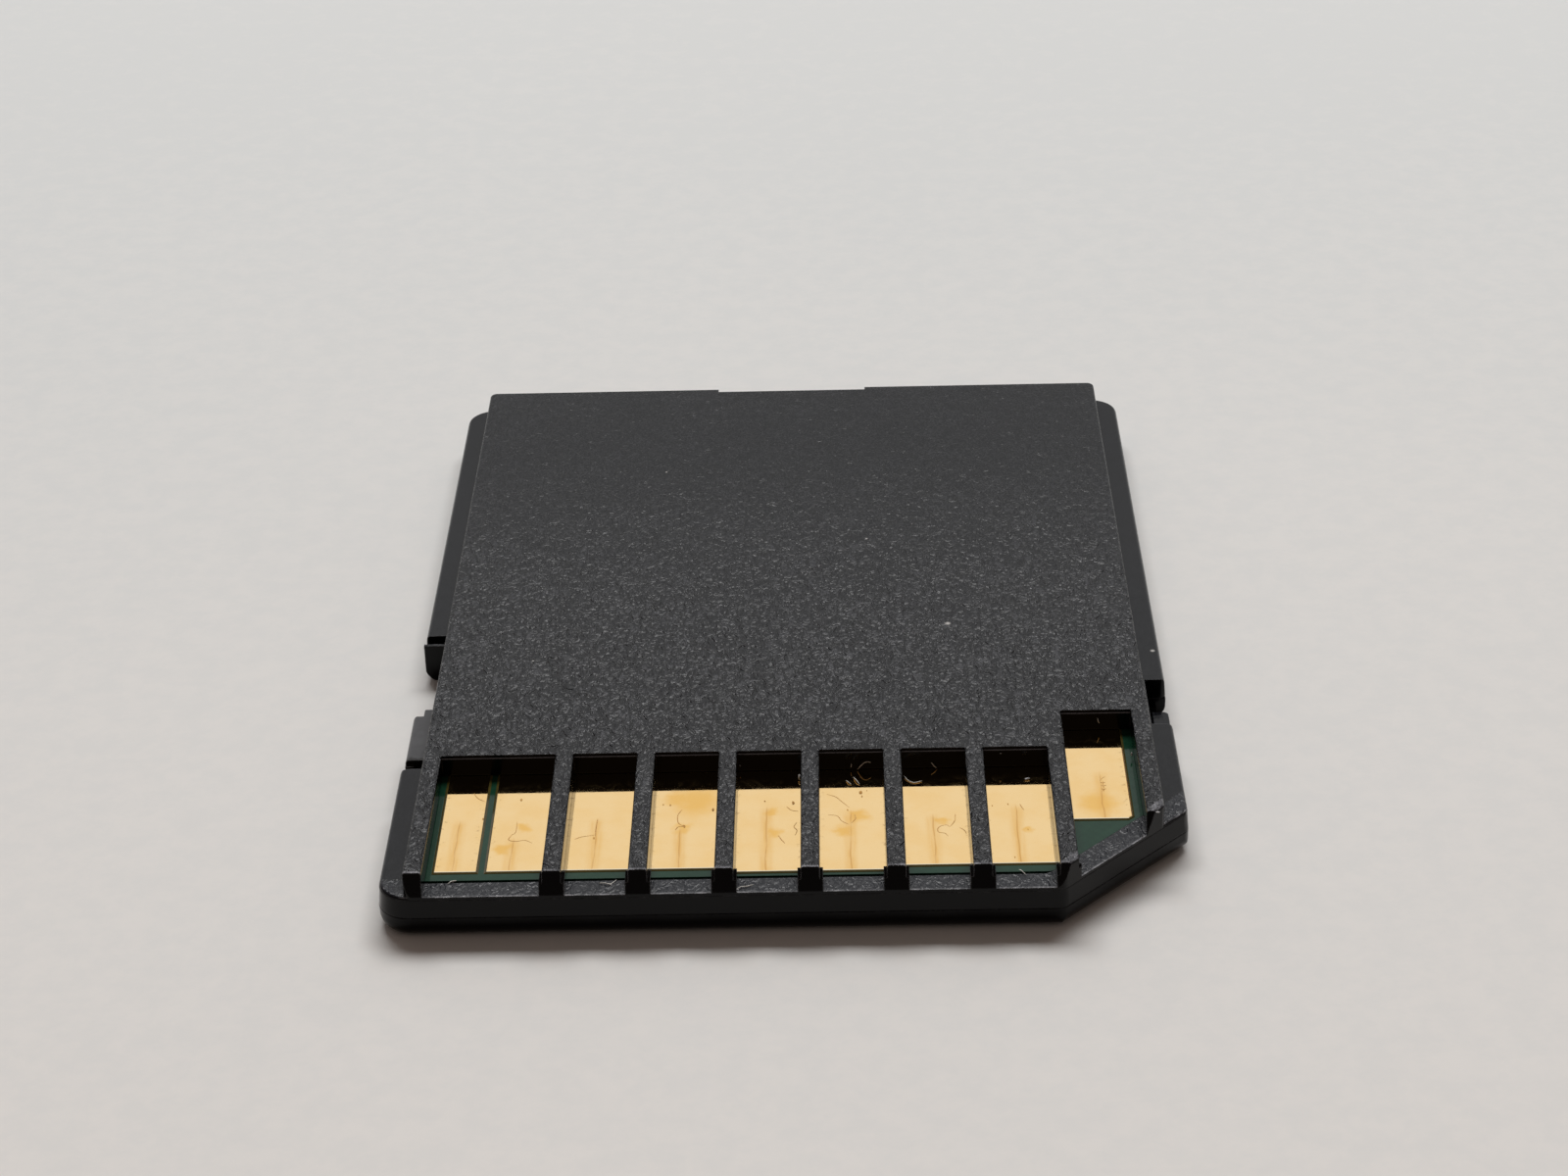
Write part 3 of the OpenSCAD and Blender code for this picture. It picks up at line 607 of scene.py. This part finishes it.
def make_piece(name: str, points: np.ndarray, faces: np.ndarray | list, material: bpy.types.Material,
               slot: str, body: str = BODY, smooth: bool = True) -> bpy.types.Object:
    """Make a mesh object from points in millimetres and let it ride on a body.

    Args:
        name: The piece's name.
        points: One row of x, y and z for each vertex.
        faces: Each face's vertex numbers, outwards by the right hand rule.
        material: Its finish.
        slot: Name of a material slot, not used.
        body: The body that it rides on.
        smooth: Whether it is shaded smoothly.

    Returns:
        The new object, at the origin.
    """
    mesh = bpy.data.meshes.new(name)
    mesh.from_pydata((points * MM).tolist(), [], [list(map(int, face)) for face in faces])
    mesh.update()
    mesh.polygons.foreach_set("use_smooth", np.full(len(mesh.polygons), smooth))
    mesh.materials.append(material)
    made = bpy.data.objects.new(name, mesh)
    bpy.context.scene.collection.objects.link(made)
    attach(made, body)
    return made


def dress(node: str, material: bpy.types.Material) -> bpy.types.Object:
    """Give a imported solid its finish.

    Args:
        node: The solid's name.
        material: The finish.

    Returns:
        The solid's object.
    """
    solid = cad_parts[node]
    solid.data.materials.clear()
    solid.data.materials.append(material)
    return solid


def smooth_route(points: np.ndarray, steps: int) -> np.ndarray:
    """Run a smooth line through points, each stretch a cubic whose slope at a point is half the way between its two
    neighbours.

    Args:
        points: The points that it passes, one row each.
        steps: Samples on each stretch.

    Returns:
        The samples, one row each.
    """
    ends = np.vstack([2 * points[0] - points[1], points, 2 * points[-1] - points[-2]])
    before, start, end, after = ends[:-3, None], ends[1:-2, None], ends[2:-1, None], ends[3:, None]
    t = np.linspace(0, 1, steps, endpoint=False)[None, :, None]
    line = 0.5 * (2 * start + (end - before) * t + (2 * before - 5 * start + 4 * end - after) * t**2
                  + (3 * start - before - 3 * end + after) * t**3)
    return np.vstack([line.reshape(-1, points.shape[1]), points[-1]])


def tube_grid(route: np.ndarray, radius: float, sides: int = 6, flat: float = 1.0) -> tuple[np.ndarray, list]:
    """Sweep a circle along a route and let it narrow to a point at both ends.

    At share t of the route the radius is radius times the fourth root of 4t(1 - t), and the circle stands across
    the route, one axis level and the other the cross product of that axis and the route's direction.

    Args:
        route: The middle line, one row of x, y and z for each ring.
        radius: Radius in the middle.
        sides: Points in each ring.
        flat: Height of a ring as a share of its width.

    Returns:
        Points and four sided faces. The end rings have hardly any width and are closed.
    """
    ahead = np.gradient(route, axis=0)
    ahead /= np.linalg.norm(ahead, axis=1, keepdims=True)
    across = np.cross(ahead, np.array([0.0, 0.0, 1.0]))
    steep = np.linalg.norm(across, axis=1, keepdims=True) < 1e-6
    across = np.where(steep, np.array([1.0, 0.0, 0.0]), across)
    across /= np.linalg.norm(across, axis=1, keepdims=True)
    lift = np.cross(across, ahead)
    share = np.linspace(0, 1, len(route))
    width = radius * np.maximum(4 * share * (1 - share), 1e-6) ** 0.25
    angle = np.linspace(0, 2 * math.pi, sides, endpoint=False)
    ring = np.cos(angle)[None, :, None] * across[:, None] + flat * np.sin(angle)[None, :, None] * lift[:, None]
    points = route[:, None] + width[:, None, None] * ring
    return points.reshape(-1, 3), grid_faces(len(route), sides, wrap_columns=True, cap_ends=True)


def grid_faces(rows: int, columns: int, wrap_rows: bool = False, wrap_columns: bool = False,
               cap_ends: bool = False) -> list:
    """Number the four sided faces of a grid of points, row by row.

    Args:
        rows: Rows of points.
        columns: Points in each row.
        wrap_rows: Whether the last row joins the first.
        wrap_columns: Whether each row closes on itself.
        cap_ends: Whether the first and last rows are closed with a face each.

    Returns:
        The faces.
    """
    row = np.arange(rows if wrap_rows else rows - 1)
    column = np.arange(columns if wrap_columns else columns - 1)
    r, c = np.meshgrid(row, column, indexing="ij")
    r_next, c_next = (r + 1) % rows, (c + 1) % columns
    corners = np.stack([r * columns + c, r_next * columns + c, r_next * columns + c_next, r * columns + c_next], -1)
    faces = corners.reshape(-1, 4).tolist()
    if cap_ends:
        faces.append(list(range(columns)))
        faces.append(list(range(rows * columns - 1, (rows - 1) * columns - 1, -1)))
    return faces


def gather(parts: list[tuple[np.ndarray, list]]) -> tuple[np.ndarray, list]:
    """Put several meshes into one.

    Args:
        parts: Points and faces of each.

    Returns:
        Points and faces of them all.
    """
    counts = np.cumsum([0] + [len(points) for points, _ in parts])
    faces = [[number + int(start) for number in face] for (_, part), start in zip(parts, counts) for face in part]
    return np.vstack([points for points, _ in parts]), faces


def chip_grid(centre: Place, size: Place, seed: int) -> tuple[np.ndarray, list]:
    """Shape a small torn chip: an ellipsoid whose radius is multiplied at each point by a sum of three waves round
    random directions.

    Args:
        centre: Its middle.
        size: Its full size along x, y and z.
        seed: Seed of the random directions.

    Returns:
        Points and faces.
    """
    draw = np.random.default_rng(seed)
    rings = np.linspace(CHIP_POLE, math.pi - CHIP_POLE, CHIP_RINGS)
    turns = np.linspace(0, 2 * math.pi, CHIP_SIDES, endpoint=False)
    down, turn = np.meshgrid(rings, turns, indexing="ij")
    ball = np.stack([np.sin(down) * np.cos(turn), np.sin(down) * np.sin(turn), np.cos(down)], -1)
    waves = draw.normal(size=(3, 3)) * CHIP_WAVES
    swell = 1 + CHIP_SWELL * np.sin(ball @ waves.T + draw.uniform(0, 2 * math.pi, 3)).sum(-1, keepdims=True)
    points = np.array(centre) + ball * swell * np.array(size) / 2
    return points.reshape(-1, 3), grid_faces(CHIP_RINGS, CHIP_SIDES, wrap_columns=True, cap_ends=True)


@dataclass
class Covers:
    """The two welded covers and the slider between them."""

    dust: tuple[tuple[float, float, float], ...] = ((5.14, -1.76, 0.13), (11.73, -2.55, 0.1), (-4.4, 9.3, 0.05),
                                                    (2.6, 4.1, 0.05), (-8.2, -3.7, 0.05))
    # Bands in order: a lighter lip top near the front, painted shade on the ribs' feet, a painted highlight along the
    # windows' rear ledge, and patchy painted highlights on the lip's front edge and on the ribs' heads
    bands: tuple[Band, ...] = (
        Band(1.4, 0.04, shown(42, 44, 50), 15.0, share=0.6),
        Band(1.75, 0.12, shown(2, 2, 3), lean=0.6),
        Band(2.0, 0.03, shown(150, 150, 154)),
        Band(1.4, 0.06, shown(150, 150, 154), 15.84, True),
        Band(2.08, 0.1, shown(140, 140, 146), 15.56, True),
    )
    finish: MouldedPlastic = field(init=False)
    slider_finish: MouldedPlastic = field(init=False)

    def __post_init__(self) -> None:
        """Choose the finishes of the black covers and the grey slider."""
        # Colours in order: painted lit face, painted shaded wall, painted glint, and edge colour that is partly wear
        # and partly painted highlight; the slider follows the same order
        self.finish = MouldedPlastic("cover_plastic", shown(17, 18, 22), shown(2, 2, 3), shown(176, 178, 186),
                                     shown(128, 128, 132), Grain.COARSE, dust=self.dust, bands=self.bands)
        self.slider_finish = MouldedPlastic("slider_plastic", shown(80, 80, 82), shown(40, 39, 38),
                                            shown(112, 112, 114), shown(112, 110, 106), Grain.FINE,
                                            dark_end_y=(-8.0, -8.15))

    def dress(self) -> None:
        """Finish the covers and the slider."""
        black = self.finish.material()
        for node in ("contact_side_cover", "label_side_cover"):
            dress(node, black)
        dress("write_protect_slider", self.slider_finish.material())
        log.info("covers and slider dressed")


@dataclass
class ContactRow:
    """The board with its nine gold contacts, the mask's rims round them and what wear and handling left there."""

    rim_width: float = 0.07
    rim_lap: float = 0.02
    rim_sink: float = 0.004
    lint_radius: float = 0.013
    lint_steps: int = 6
    lint_lift: float = 0.001
    lint_arch: float = 0.002
    lint_flat: float = 0.3
    speck_width: float = 0.55
    speck_length: float = 1.4
    speck_lift_divisor: float = 80.0
    speck_height_divisor: float = 30.0
    edge_radius: float = 0.018
    edge_angle: float = 40.0
    weld_below: float = 0.0005
    wear: dict[int, PadWear] = field(default_factory=lambda: {
        1: PadWear((6.82, -11.5, -14.6), ((7.12, -12.87, 0.25),),
                   ((6.12, -11.55, 0.05), (6.59, -11.49, 0.06), (6.66, -14.34, 0.06), (7.12, -12.87, 0.05)),
                   (((6.95, -11.48), (7.0, -11.66), (7.06, -11.82)),)),
        2: PadWear((4.33, -11.95, -14.6), ((4.6, -12.3, 0.3),), (),
                   (((4.81, -12.66), (4.71, -12.56), (4.53, -12.62), (4.44, -12.78), (4.48, -12.94), (4.66, -13.01),
                     (4.74, -13.17)),
                    ((5.0, -11.96), (4.96, -12.35), (4.81, -12.66)),
                    ((5.09, -12.7), (5.23, -12.86), (5.29, -13.06)))),
        3: PadWear((1.86, -11.7, -14.8), ((2.1, -12.0, 0.5), (1.63, -12.82, 0.45)),
                   ((2.19, -10.69, 0.12), (2.22, -10.92, 0.08), (2.37, -10.6, 0.05), (1.77, -11.66, 0.07)),
                   (((1.18, -11.91), (1.46, -11.97), (1.6, -12.25), (1.81, -12.45)),
                    ((1.98, -11.87), (2.01, -12.13), (1.88, -12.38)),
                    ((1.15, -10.76), (1.43, -10.93), (1.61, -11.2), (1.84, -11.54)))),
        4: PadWear((-0.65, -11.4, -14.8), ((-0.41, -12.83, 0.4), (-0.5, -11.7, 0.3)),
                   ((-0.71, -11.1, 0.06), (0.14, -11.22, 0.13)),
                   (((-0.06, -11.41), (0.05, -11.58), (0.15, -11.65), (0.31, -11.69)),
                    ((0.26, -12.27), (0.17, -12.52), (0.26, -12.72), (0.2, -13.0)),
                    ((-0.3, -12.96), (-0.2, -13.2), (-0.09, -13.41)))),
        5: PadWear((-3.21, -12.5, -14.63), ((-2.75, -11.0, 1.15), (-3.3, -10.9, 0.7), (-3.15, -12.5, 0.4)),
                   ((-3.77, -11.2, 0.06), (-3.56, -11.24, 0.06), (-2.28, -11.54, 0.1), (-3.11, -12.4, 0.12)),
                   (((-3.19, -11.48), (-3.31, -11.77), (-3.31, -12.1), (-3.24, -12.29), (-3.11, -12.39)),
                    ((-3.11, -12.42), (-3.28, -12.42), (-3.37, -12.61)))),
        6: PadWear((-5.73, -11.89, -14.55), (), ((-5.78, -12.98, 0.07),),
                   (((-6.35, -13.01), (-6.14, -12.88), (-5.74, -12.79)),
                    ((-5.71, -11.89), (-5.74, -12.4), (-5.74, -12.86)))),
        7: PadWear((-8.18, -12.9, -14.54), ((-7.91, -12.34, 0.35), (-8.47, -13.47, 0.4)), ((-8.09, -10.83, 0.09),),
                   (((-8.13, -11.95), (-8.13, -12.56), (-8.24, -12.72), (-8.31, -12.98), (-8.08, -13.06),
                     (-7.83, -13.01), (-7.59, -13.17)),)),
        8: PadWear((-9.85, -11.9, -14.56), (), ((-9.17, -11.82, 0.07),),
                   (((-9.56, -10.37), (-9.47, -10.6), (-9.35, -10.75), (-9.16, -10.88)),)),
        9: PadWear((9.45, -9.75, -12.3), ((9.3, -11.5, 0.9),), ((9.52, -10.8, 0.06),),
                   (((9.62, -10.03), (9.52, -10.13), (9.45, -10.24)), ((9.45, -10.36), (9.52, -10.38), (9.6, -10.37)),
                    ((9.46, -10.53), (9.53, -10.55), (9.62, -10.53)), ((9.45, -10.72), (9.53, -10.74), (9.6, -10.72)),
                    ((9.55, -10.3), (9.52, -10.5), (9.54, -10.68)))),
    })

    def outline(self, node: str) -> np.ndarray:
        """Read a pad's outline from its own top corners, in order round its middle.

        Args:
            node: The pad's name.

        Returns:
            The corners' x and y, anticlockwise.
        """
        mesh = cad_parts[node].data
        points = np.empty(len(mesh.vertices) * 3, np.float32)
        mesh.vertices.foreach_get("co", points)
        points = points.reshape(-1, 3) / MM
        top = np.unique(points[points[:, 2] > points[:, 2].max() - 0.001][:, :2].round(4), axis=0)
        middle = (top.min(0) + top.max(0)) / 2
        turn = np.arctan2(top[:, 1] - middle[1], top[:, 0] - middle[0])
        return top[np.argsort(turn)]

    def rim(self, node: str) -> tuple[np.ndarray, list]:
        """Carry a low section round a pad, where the mask climbs on to the copper.

        The outline is moved outwards by each of the section's offsets, along the sum of the normals of the two
        sides at a corner over 1 plus their cosine, and raised by its heights.

        Args:
            node: The pad's name.

        Returns:
            Points and faces of the ring.
        """
        low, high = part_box(node)
        corners = self.outline(node)
        side = np.roll(corners, -1, axis=0) - corners
        normal = np.stack([side[:, 1], -side[:, 0]], -1) / np.linalg.norm(side, axis=1, keepdims=True)
        before = np.roll(normal, 1, axis=0)
        mitre = (normal + before) / (1 + (normal * before).sum(-1, keepdims=True))
        offsets = np.array([0.0, 0.0, self.rim_lap, self.rim_width, self.rim_width])
        board, top = low.z / MM, high.z / MM
        heights = np.array([board, top - self.rim_sink, top - 0.003, board + self.rim_sink, board])
        flat = corners[:, None] + mitre[:, None] * offsets[None, :, None]
        points = np.concatenate([flat, np.broadcast_to(heights[None, :, None], (*flat.shape[:2], 1))], -1)
        return points.reshape(-1, 3), grid_faces(len(corners), len(offsets), wrap_rows=True, wrap_columns=True)

    def round_pad(self, node: str) -> None:
        """Round a pad's edges a little with modifiers, so that they catch the light.

        Args:
            node: The pad's name.
        """
        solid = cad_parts[node]
        weld = solid.modifiers.new("weld", "WELD")
        weld.merge_threshold = self.weld_below * MM
        bevel = solid.modifiers.new("rounding", "BEVEL")
        bevel.width = self.edge_radius * MM
        bevel.segments = 2
        bevel.limit_method = "ANGLE"
        bevel.angle_limit = math.radians(self.edge_angle)

    def lint(self, route: tuple[Point, ...], top: float, seed: int) -> tuple[np.ndarray, list]:
        """Lay a fibre on a pad along a route, its middle lifted by a random arch.

        Args:
            route: The points that it passes, seen from above.
            top: Height of the pad.
            seed: Seed of the arch.

        Returns:
            Points and faces.
        """
        line = smooth_route(np.array(route), self.lint_steps)
        share = np.linspace(0, 1, len(line))
        arch = np.random.default_rng(seed).uniform(0.0, self.lint_arch)
        height = top + self.lint_lift + arch * np.sin(math.pi * share)
        return tube_grid(np.column_stack([line, height]), self.lint_radius, flat=self.lint_flat)

    def speck(self, spot: Place, top: float, seed: int) -> tuple[np.ndarray, list]:
        """Lay a flat fleck of grime on a pad.

        Args:
            spot: Its x, y and size.
            top: Height of the pad.
            seed: Seed of its shape.

        Returns:
            Points and faces.
        """
        x, y, size = spot
        extent = (size * self.speck_width, size * self.speck_length, size / self.speck_height_divisor)
        return chip_grid((x, y, top + size / self.speck_lift_divisor), extent, seed)

    def dress(self) -> None:
        """Finish the board and the contacts, and add rims, grime and lint."""
        dress("circuit_board", SolderMask("solder_mask").material())
        rim_finish = SolderMask("mask_over_copper", shown(84, 72, 34), shown(58, 58, 30)).material()
        grime = Speckled("grime", shown(222, 168, 90), shown(168, 116, 54), 5.0, 0.6, specular=0.1).material()
        brown_lint = Speckled("brown_lint", shown(246, 200, 128), shown(206, 150, 84), 4.0, 0.6,
                              specular=0.1).material()
        fibres, flecks = [], []
        for number, wear in self.wear.items():
            node = f"contact_pad_{number}"
            low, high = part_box(node)
            sides = (low.x / MM, high.x / MM, low.y / MM)
            dress(node, GoldPlating(f"gold_plating_{number}", wear, *sides).material())
            self.round_pad(node)
            make_piece(f"mask_rim_{number}", *self.rim(node), rim_finish, "solder_mask", smooth=False)
            top = high.z / MM
            fibres += [self.lint(route, top, 10 * number + i) for i, route in enumerate(wear.fibres)]
            flecks += [self.speck(spot, top, 50 * number + i) for i, spot in enumerate(wear.specks)]
            log.info("contact %d dressed with %d fibres and %d specks", number, len(wear.fibres), len(wear.specks))
        make_piece("lint_on_contacts", *gather(fibres), brown_lint, "solder_mask")
        make_piece("grime_on_contacts", *gather(flecks), grime, "solder_mask")


@dataclass
class WindowDirt:
    """Pale lint and torn chips of plastic that cling to the windows' walls."""

    radius: float = 0.013
    steps: int = 8
    first_seed: int = 900
    lint: tuple[tuple[Place, ...], ...] = (
        ((2.54, -9.43, 1.67), (2.36, -9.5, 1.72), (2.21, -9.52, 1.61), (2.1, -9.46, 1.43)),
        ((1.92, -9.42, 1.62), (1.91, -9.46, 1.55), (1.9, -9.43, 1.49)),
        ((4.35, -9.42, 1.63), (4.46, -9.47, 1.5), (4.53, -9.43, 1.43)),
        ((3.52, -9.9, 1.45), (3.64, -10.11, 1.42), (3.82, -10.23, 1.42), (4.06, -10.15, 1.43)),
        ((1.97, -9.88, 1.43), (2.06, -10.1, 1.46), (2.16, -10.29, 1.42)),
        ((1.75, -10.05, 1.42), (1.82, -10.18, 1.44), (1.91, -10.28, 1.42)),
        ((9.58, -7.37, 1.85), (9.6, -7.42, 1.76), (9.65, -7.38, 1.65)),
        ((-9.92, -15.28, 1.42), (-9.8, -15.17, 1.44), (-9.66, -15.11, 1.42)),
        ((-5.5, -15.36, 1.42), (-5.32, -15.4, 1.45), (-5.15, -15.42, 1.43), (-4.98, -15.22, 1.44)),
        ((-1.48, -15.8, 1.42), (-1.36, -15.7, 1.44), (-1.2, -15.66, 1.43), (-1.0, -15.56, 1.42)),
        ((6.73, -15.0, 1.42), (6.8, -15.13, 1.46), (6.92, -15.28, 1.42)),
    )
    chips: tuple[tuple[Place, Place], ...] = (
        ((0.33, -9.95, 1.52), (0.05, 0.1, 0.14)),
        ((8.47, -8.05, 1.62), (0.05, 0.1, 0.07)),
        ((10.51, -9.05, 1.58), (0.05, 0.09, 0.12)),
        ((-9.78, -15.14, 1.41), (0.1, 0.06, 0.04)),
        ((-1.44, -15.78, 1.41), (0.06, 0.08, 0.03)),
        ((-5.14, -15.44, 1.41), (0.07, 0.09, 0.03)),
        ((10.71, -12.86, 2.06), (0.12, 0.08, 0.03)),
        ((10.93, -13.05, 2.05), (0.1, 0.09, 0.04)),
        ((10.68, -9.94, 1.42), (0.04, 0.12, 0.03)),
        ((10.7, -10.77, 1.42), (0.05, 0.16, 0.03)),
        ((-1.49, -9.42, 1.62), (0.04, 0.03, 0.04)),
        ((6.47, -9.42, 1.9), (0.04, 0.03, 0.04)),
        ((7.25, -10.15, 1.44), (0.13, 0.05, 0.04)),
    )

    def add(self) -> None:
        """Make the lint and the chips."""
        pale = Speckled("pale_lint", shown(250, 248, 240), shown(214, 210, 200), 6.0, 0.7).material()
        torn = Speckled("torn_plastic", shown(226, 226, 226), shown(150, 150, 154), 9.0, 0.55).material()
        tubes = [tube_grid(smooth_route(np.array(route), self.steps), self.radius) for route in self.lint]
        make_piece("lint_in_windows", *gather(tubes), pale, "cover_plastic")
        lumps = [chip_grid(centre, size, self.first_seed + i) for i, (centre, size) in enumerate(self.chips)]
        make_piece("chips_in_windows", *gather(lumps), torn, "cover_plastic")
        log.info("%d fibres and %d chips in the windows", len(tubes), len(lumps))


@dataclass
class InnerParts:
    """What is soldered under the board: two packages, their leads and the chip components."""

    chips: int = 6

    def dress(self) -> None:
        """Finish the packages, leads and chips."""
        resin = Speckled("package_resin", shown(34, 34, 36), shown(24, 24, 26), 5.0, 0.5, 0.006).material()
        tin = Speckled("tinned_leads", shown(206, 206, 204), shown(168, 168, 166), 6.0, 0.3, 0.004, 1.0).material()
        ceramic = Speckled("capacitor_body", shown(150, 118, 84), shown(132, 100, 70), 9.0, 0.45).material()
        coat = Speckled("resistor_body", shown(26, 26, 30), shown(44, 44, 48), 9.0, 0.4).material()
        for node in ("memory_package", "controller_package"):
            dress(node, resin)
        for node in ("memory_package_leads", "controller_lands"):
            dress(node, tin)
        for number in range(1, self.chips + 1):
            dress(f"capacitor_{number}", ceramic)
            dress(f"resistor_{number}", coat)
        log.info("inner parts dressed")


@dataclass
class Studio:
    """A pale floor under a soft sky that is brightest behind the card, one broad lamp, and the camera."""

    camera_at: Place = (1.6874, -96.471, 56.672)
    pitch: float = 0.5113
    yaw: float = 0.0193
    roll: float = -0.0272
    focus_px: float = 3433.5464
    image_px: int = 1600
    sensor: float = 36.0
    clip: tuple[float, float] = (0.001, 10.0)
    floor_half: float = 900.0
    floor_points: int = 13
    floor_roughness: float = 0.6
    floor_near: Colour = shown(236, 233, 229)
    floor_far: Colour = shown(218, 220, 219)
    floor_from: float = -60.0
    floor_to: float = 60.0
    sky_front: float = 0.14
    sky_back: float = 0.88
    sky_from: float = 0.5
    sky_to: float = 0.84
    sky_low_from: float = 0.86
    sky_low_to: float = 0.91
    sky_low: float = 0.6
    sky_warm: Colour = (1.0, 0.8, 0.7, 1.0)
    lamp_at: Place = (20.0, 290.0, 420.0)
    lamp_width: float = 420.0
    lamp_height: float = 170.0
    lamp_watts: float = 2.15

    def add_floor(self) -> None:
        """Lay a level floor, a flat grid whose height is 0 everywhere."""
        side = np.linspace(-self.floor_half, self.floor_half, self.floor_points)
        x, y = np.meshgrid(side, side, indexing="ij")
        points = np.stack([x, y, np.zeros_like(x)], -1).reshape(-1, 3)
        mesh = bpy.data.meshes.new("floor")
        mesh.from_pydata((points * MM).tolist(), [], grid_faces(self.floor_points, self.floor_points))
        sheet = NodeSheet("floor")
        _, y, _ = sheet.axes(sheet.place())
        cloud = sheet.fade(sheet.noise(0.02, 4.0, 0.6), 0.3, 0.7, -0.06, 0.06)
        paper = sheet.fade(sheet.noise(0.9, 3.0, 0.7), 0.3, 0.7, -0.12, 0.12)
        # Paler towards the front: painted light that evens out the lamp's fall-off from back to front
        share = sheet.calc("ADD", sheet.fade(y, self.floor_from, self.floor_to), sheet.calc("ADD", cloud, paper))
        colour = sheet.mix(share, self.floor_near, self.floor_far)
        mesh.materials.append(sheet.finish(colour, self.floor_roughness, specular=0.2))
        floor = bpy.data.objects.new("floor", mesh)
        bpy.context.scene.collection.objects.link(floor)

    def add_sky(self) -> None:
        """Light the scene from all round, by a value that eases with the direction's y: low in front, high behind
        and a little lower again near the horizon behind."""
        world = bpy.data.worlds.new("sky")
        bpy.context.scene.world = world
        world.use_nodes = True
        tree = world.node_tree
        source = tree.nodes.new("ShaderNodeTexCoord")
        split = tree.nodes.new("ShaderNodeSeparateXYZ")
        product = tree.nodes.new("ShaderNodeMath")
        product.operation = "MULTIPLY"
        tree.links.new(source.outputs["Generated"], split.inputs[0])
        tint = tree.nodes.new("ShaderNodeMix")
        tint.data_type = "RGBA"
        tint.inputs[6].default_value = self.sky_warm
        tint.inputs[7].default_value = (1.0, 1.0, 1.0, 1.0)
        steps = ((product.inputs[0], self.sky_from, self.sky_to, self.sky_front, self.sky_back),
                 (product.inputs[1], self.sky_low_from, self.sky_low_to, 1.0, self.sky_low),
                 (tint.inputs[0], self.sky_from, self.sky_to, 0.0, 1.0))
        for target, *values in steps:
            ease = tree.nodes.new("ShaderNodeMapRange")
            ease.interpolation_type = "SMOOTHSTEP"
            tree.links.new(split.outputs[1], ease.inputs[0])
            for socket, value in zip(ease.inputs[1:5], values):
                socket.default_value = value
            tree.links.new(ease.outputs[0], target)
        tree.links.new(product.outputs[0], tree.nodes["Background"].inputs["Strength"])
        tree.links.new(tint.outputs[2], tree.nodes["Background"].inputs["Color"])

    def add_lamp(self) -> None:
        """Hang one broad lamp like a window above and behind the card, turned to its middle."""
        data = bpy.data.lights.new("soft_lamp", "AREA")
        data.shape = "RECTANGLE"
        data.size = self.lamp_width * MM
        data.size_y = self.lamp_height * MM
        data.energy = self.lamp_watts
        lamp = bpy.data.objects.new("soft_lamp", data)
        lamp.location = Vector(self.lamp_at) * MM
        lamp.rotation_mode = "QUATERNION"
        lamp.rotation_quaternion = (-lamp.location).to_track_quat("-Z", "Y")
        bpy.context.scene.collection.objects.link(lamp)

    def add_camera(self) -> None:
        """Set the camera where the photograph was taken: turned down by pitch, left by yaw and rolled."""
        ahead = Matrix.Rotation(self.yaw, 3, "Z") @ Matrix.Rotation(-self.pitch, 3, "X") @ Vector((0, 1, 0))
        level = Matrix.Rotation(self.yaw, 3, "Z") @ Vector((1, 0, 0))
        top = level.cross(ahead)
        right = math.cos(self.roll) * level + math.sin(self.roll) * top
        up = math.cos(self.roll) * top - math.sin(self.roll) * level
        data = bpy.data.cameras.new("camera")
        data.sensor_width = self.sensor
        data.lens = self.focus_px * self.sensor / self.image_px
        data.clip_start, data.clip_end = self.clip
        camera = bpy.data.objects.new("camera", data)
        turn = Matrix((right, up, -ahead)).transposed()
        camera.matrix_world = Matrix.Translation(Vector(self.camera_at) * MM) @ turn.to_4x4()
        bpy.context.scene.collection.objects.link(camera)
        bpy.context.scene.camera = camera

    def set_up(self) -> None:
        """Build the whole studio and set the plain view."""
        self.add_floor()
        self.add_sky()
        self.add_lamp()
        self.add_camera()
        bpy.context.scene.view_settings.view_transform = "Standard"
        log.info("studio set")


def main() -> None:
    """Dress the card piece by piece and report each."""
    logging.basicConfig(level=logging.INFO, format="%(name)s: %(message)s")
    Studio().set_up()
    Covers().dress()
    ContactRow().dress()
    WindowDirt().add()
    InnerParts().dress()


if __name__ == "__main__":
    main()
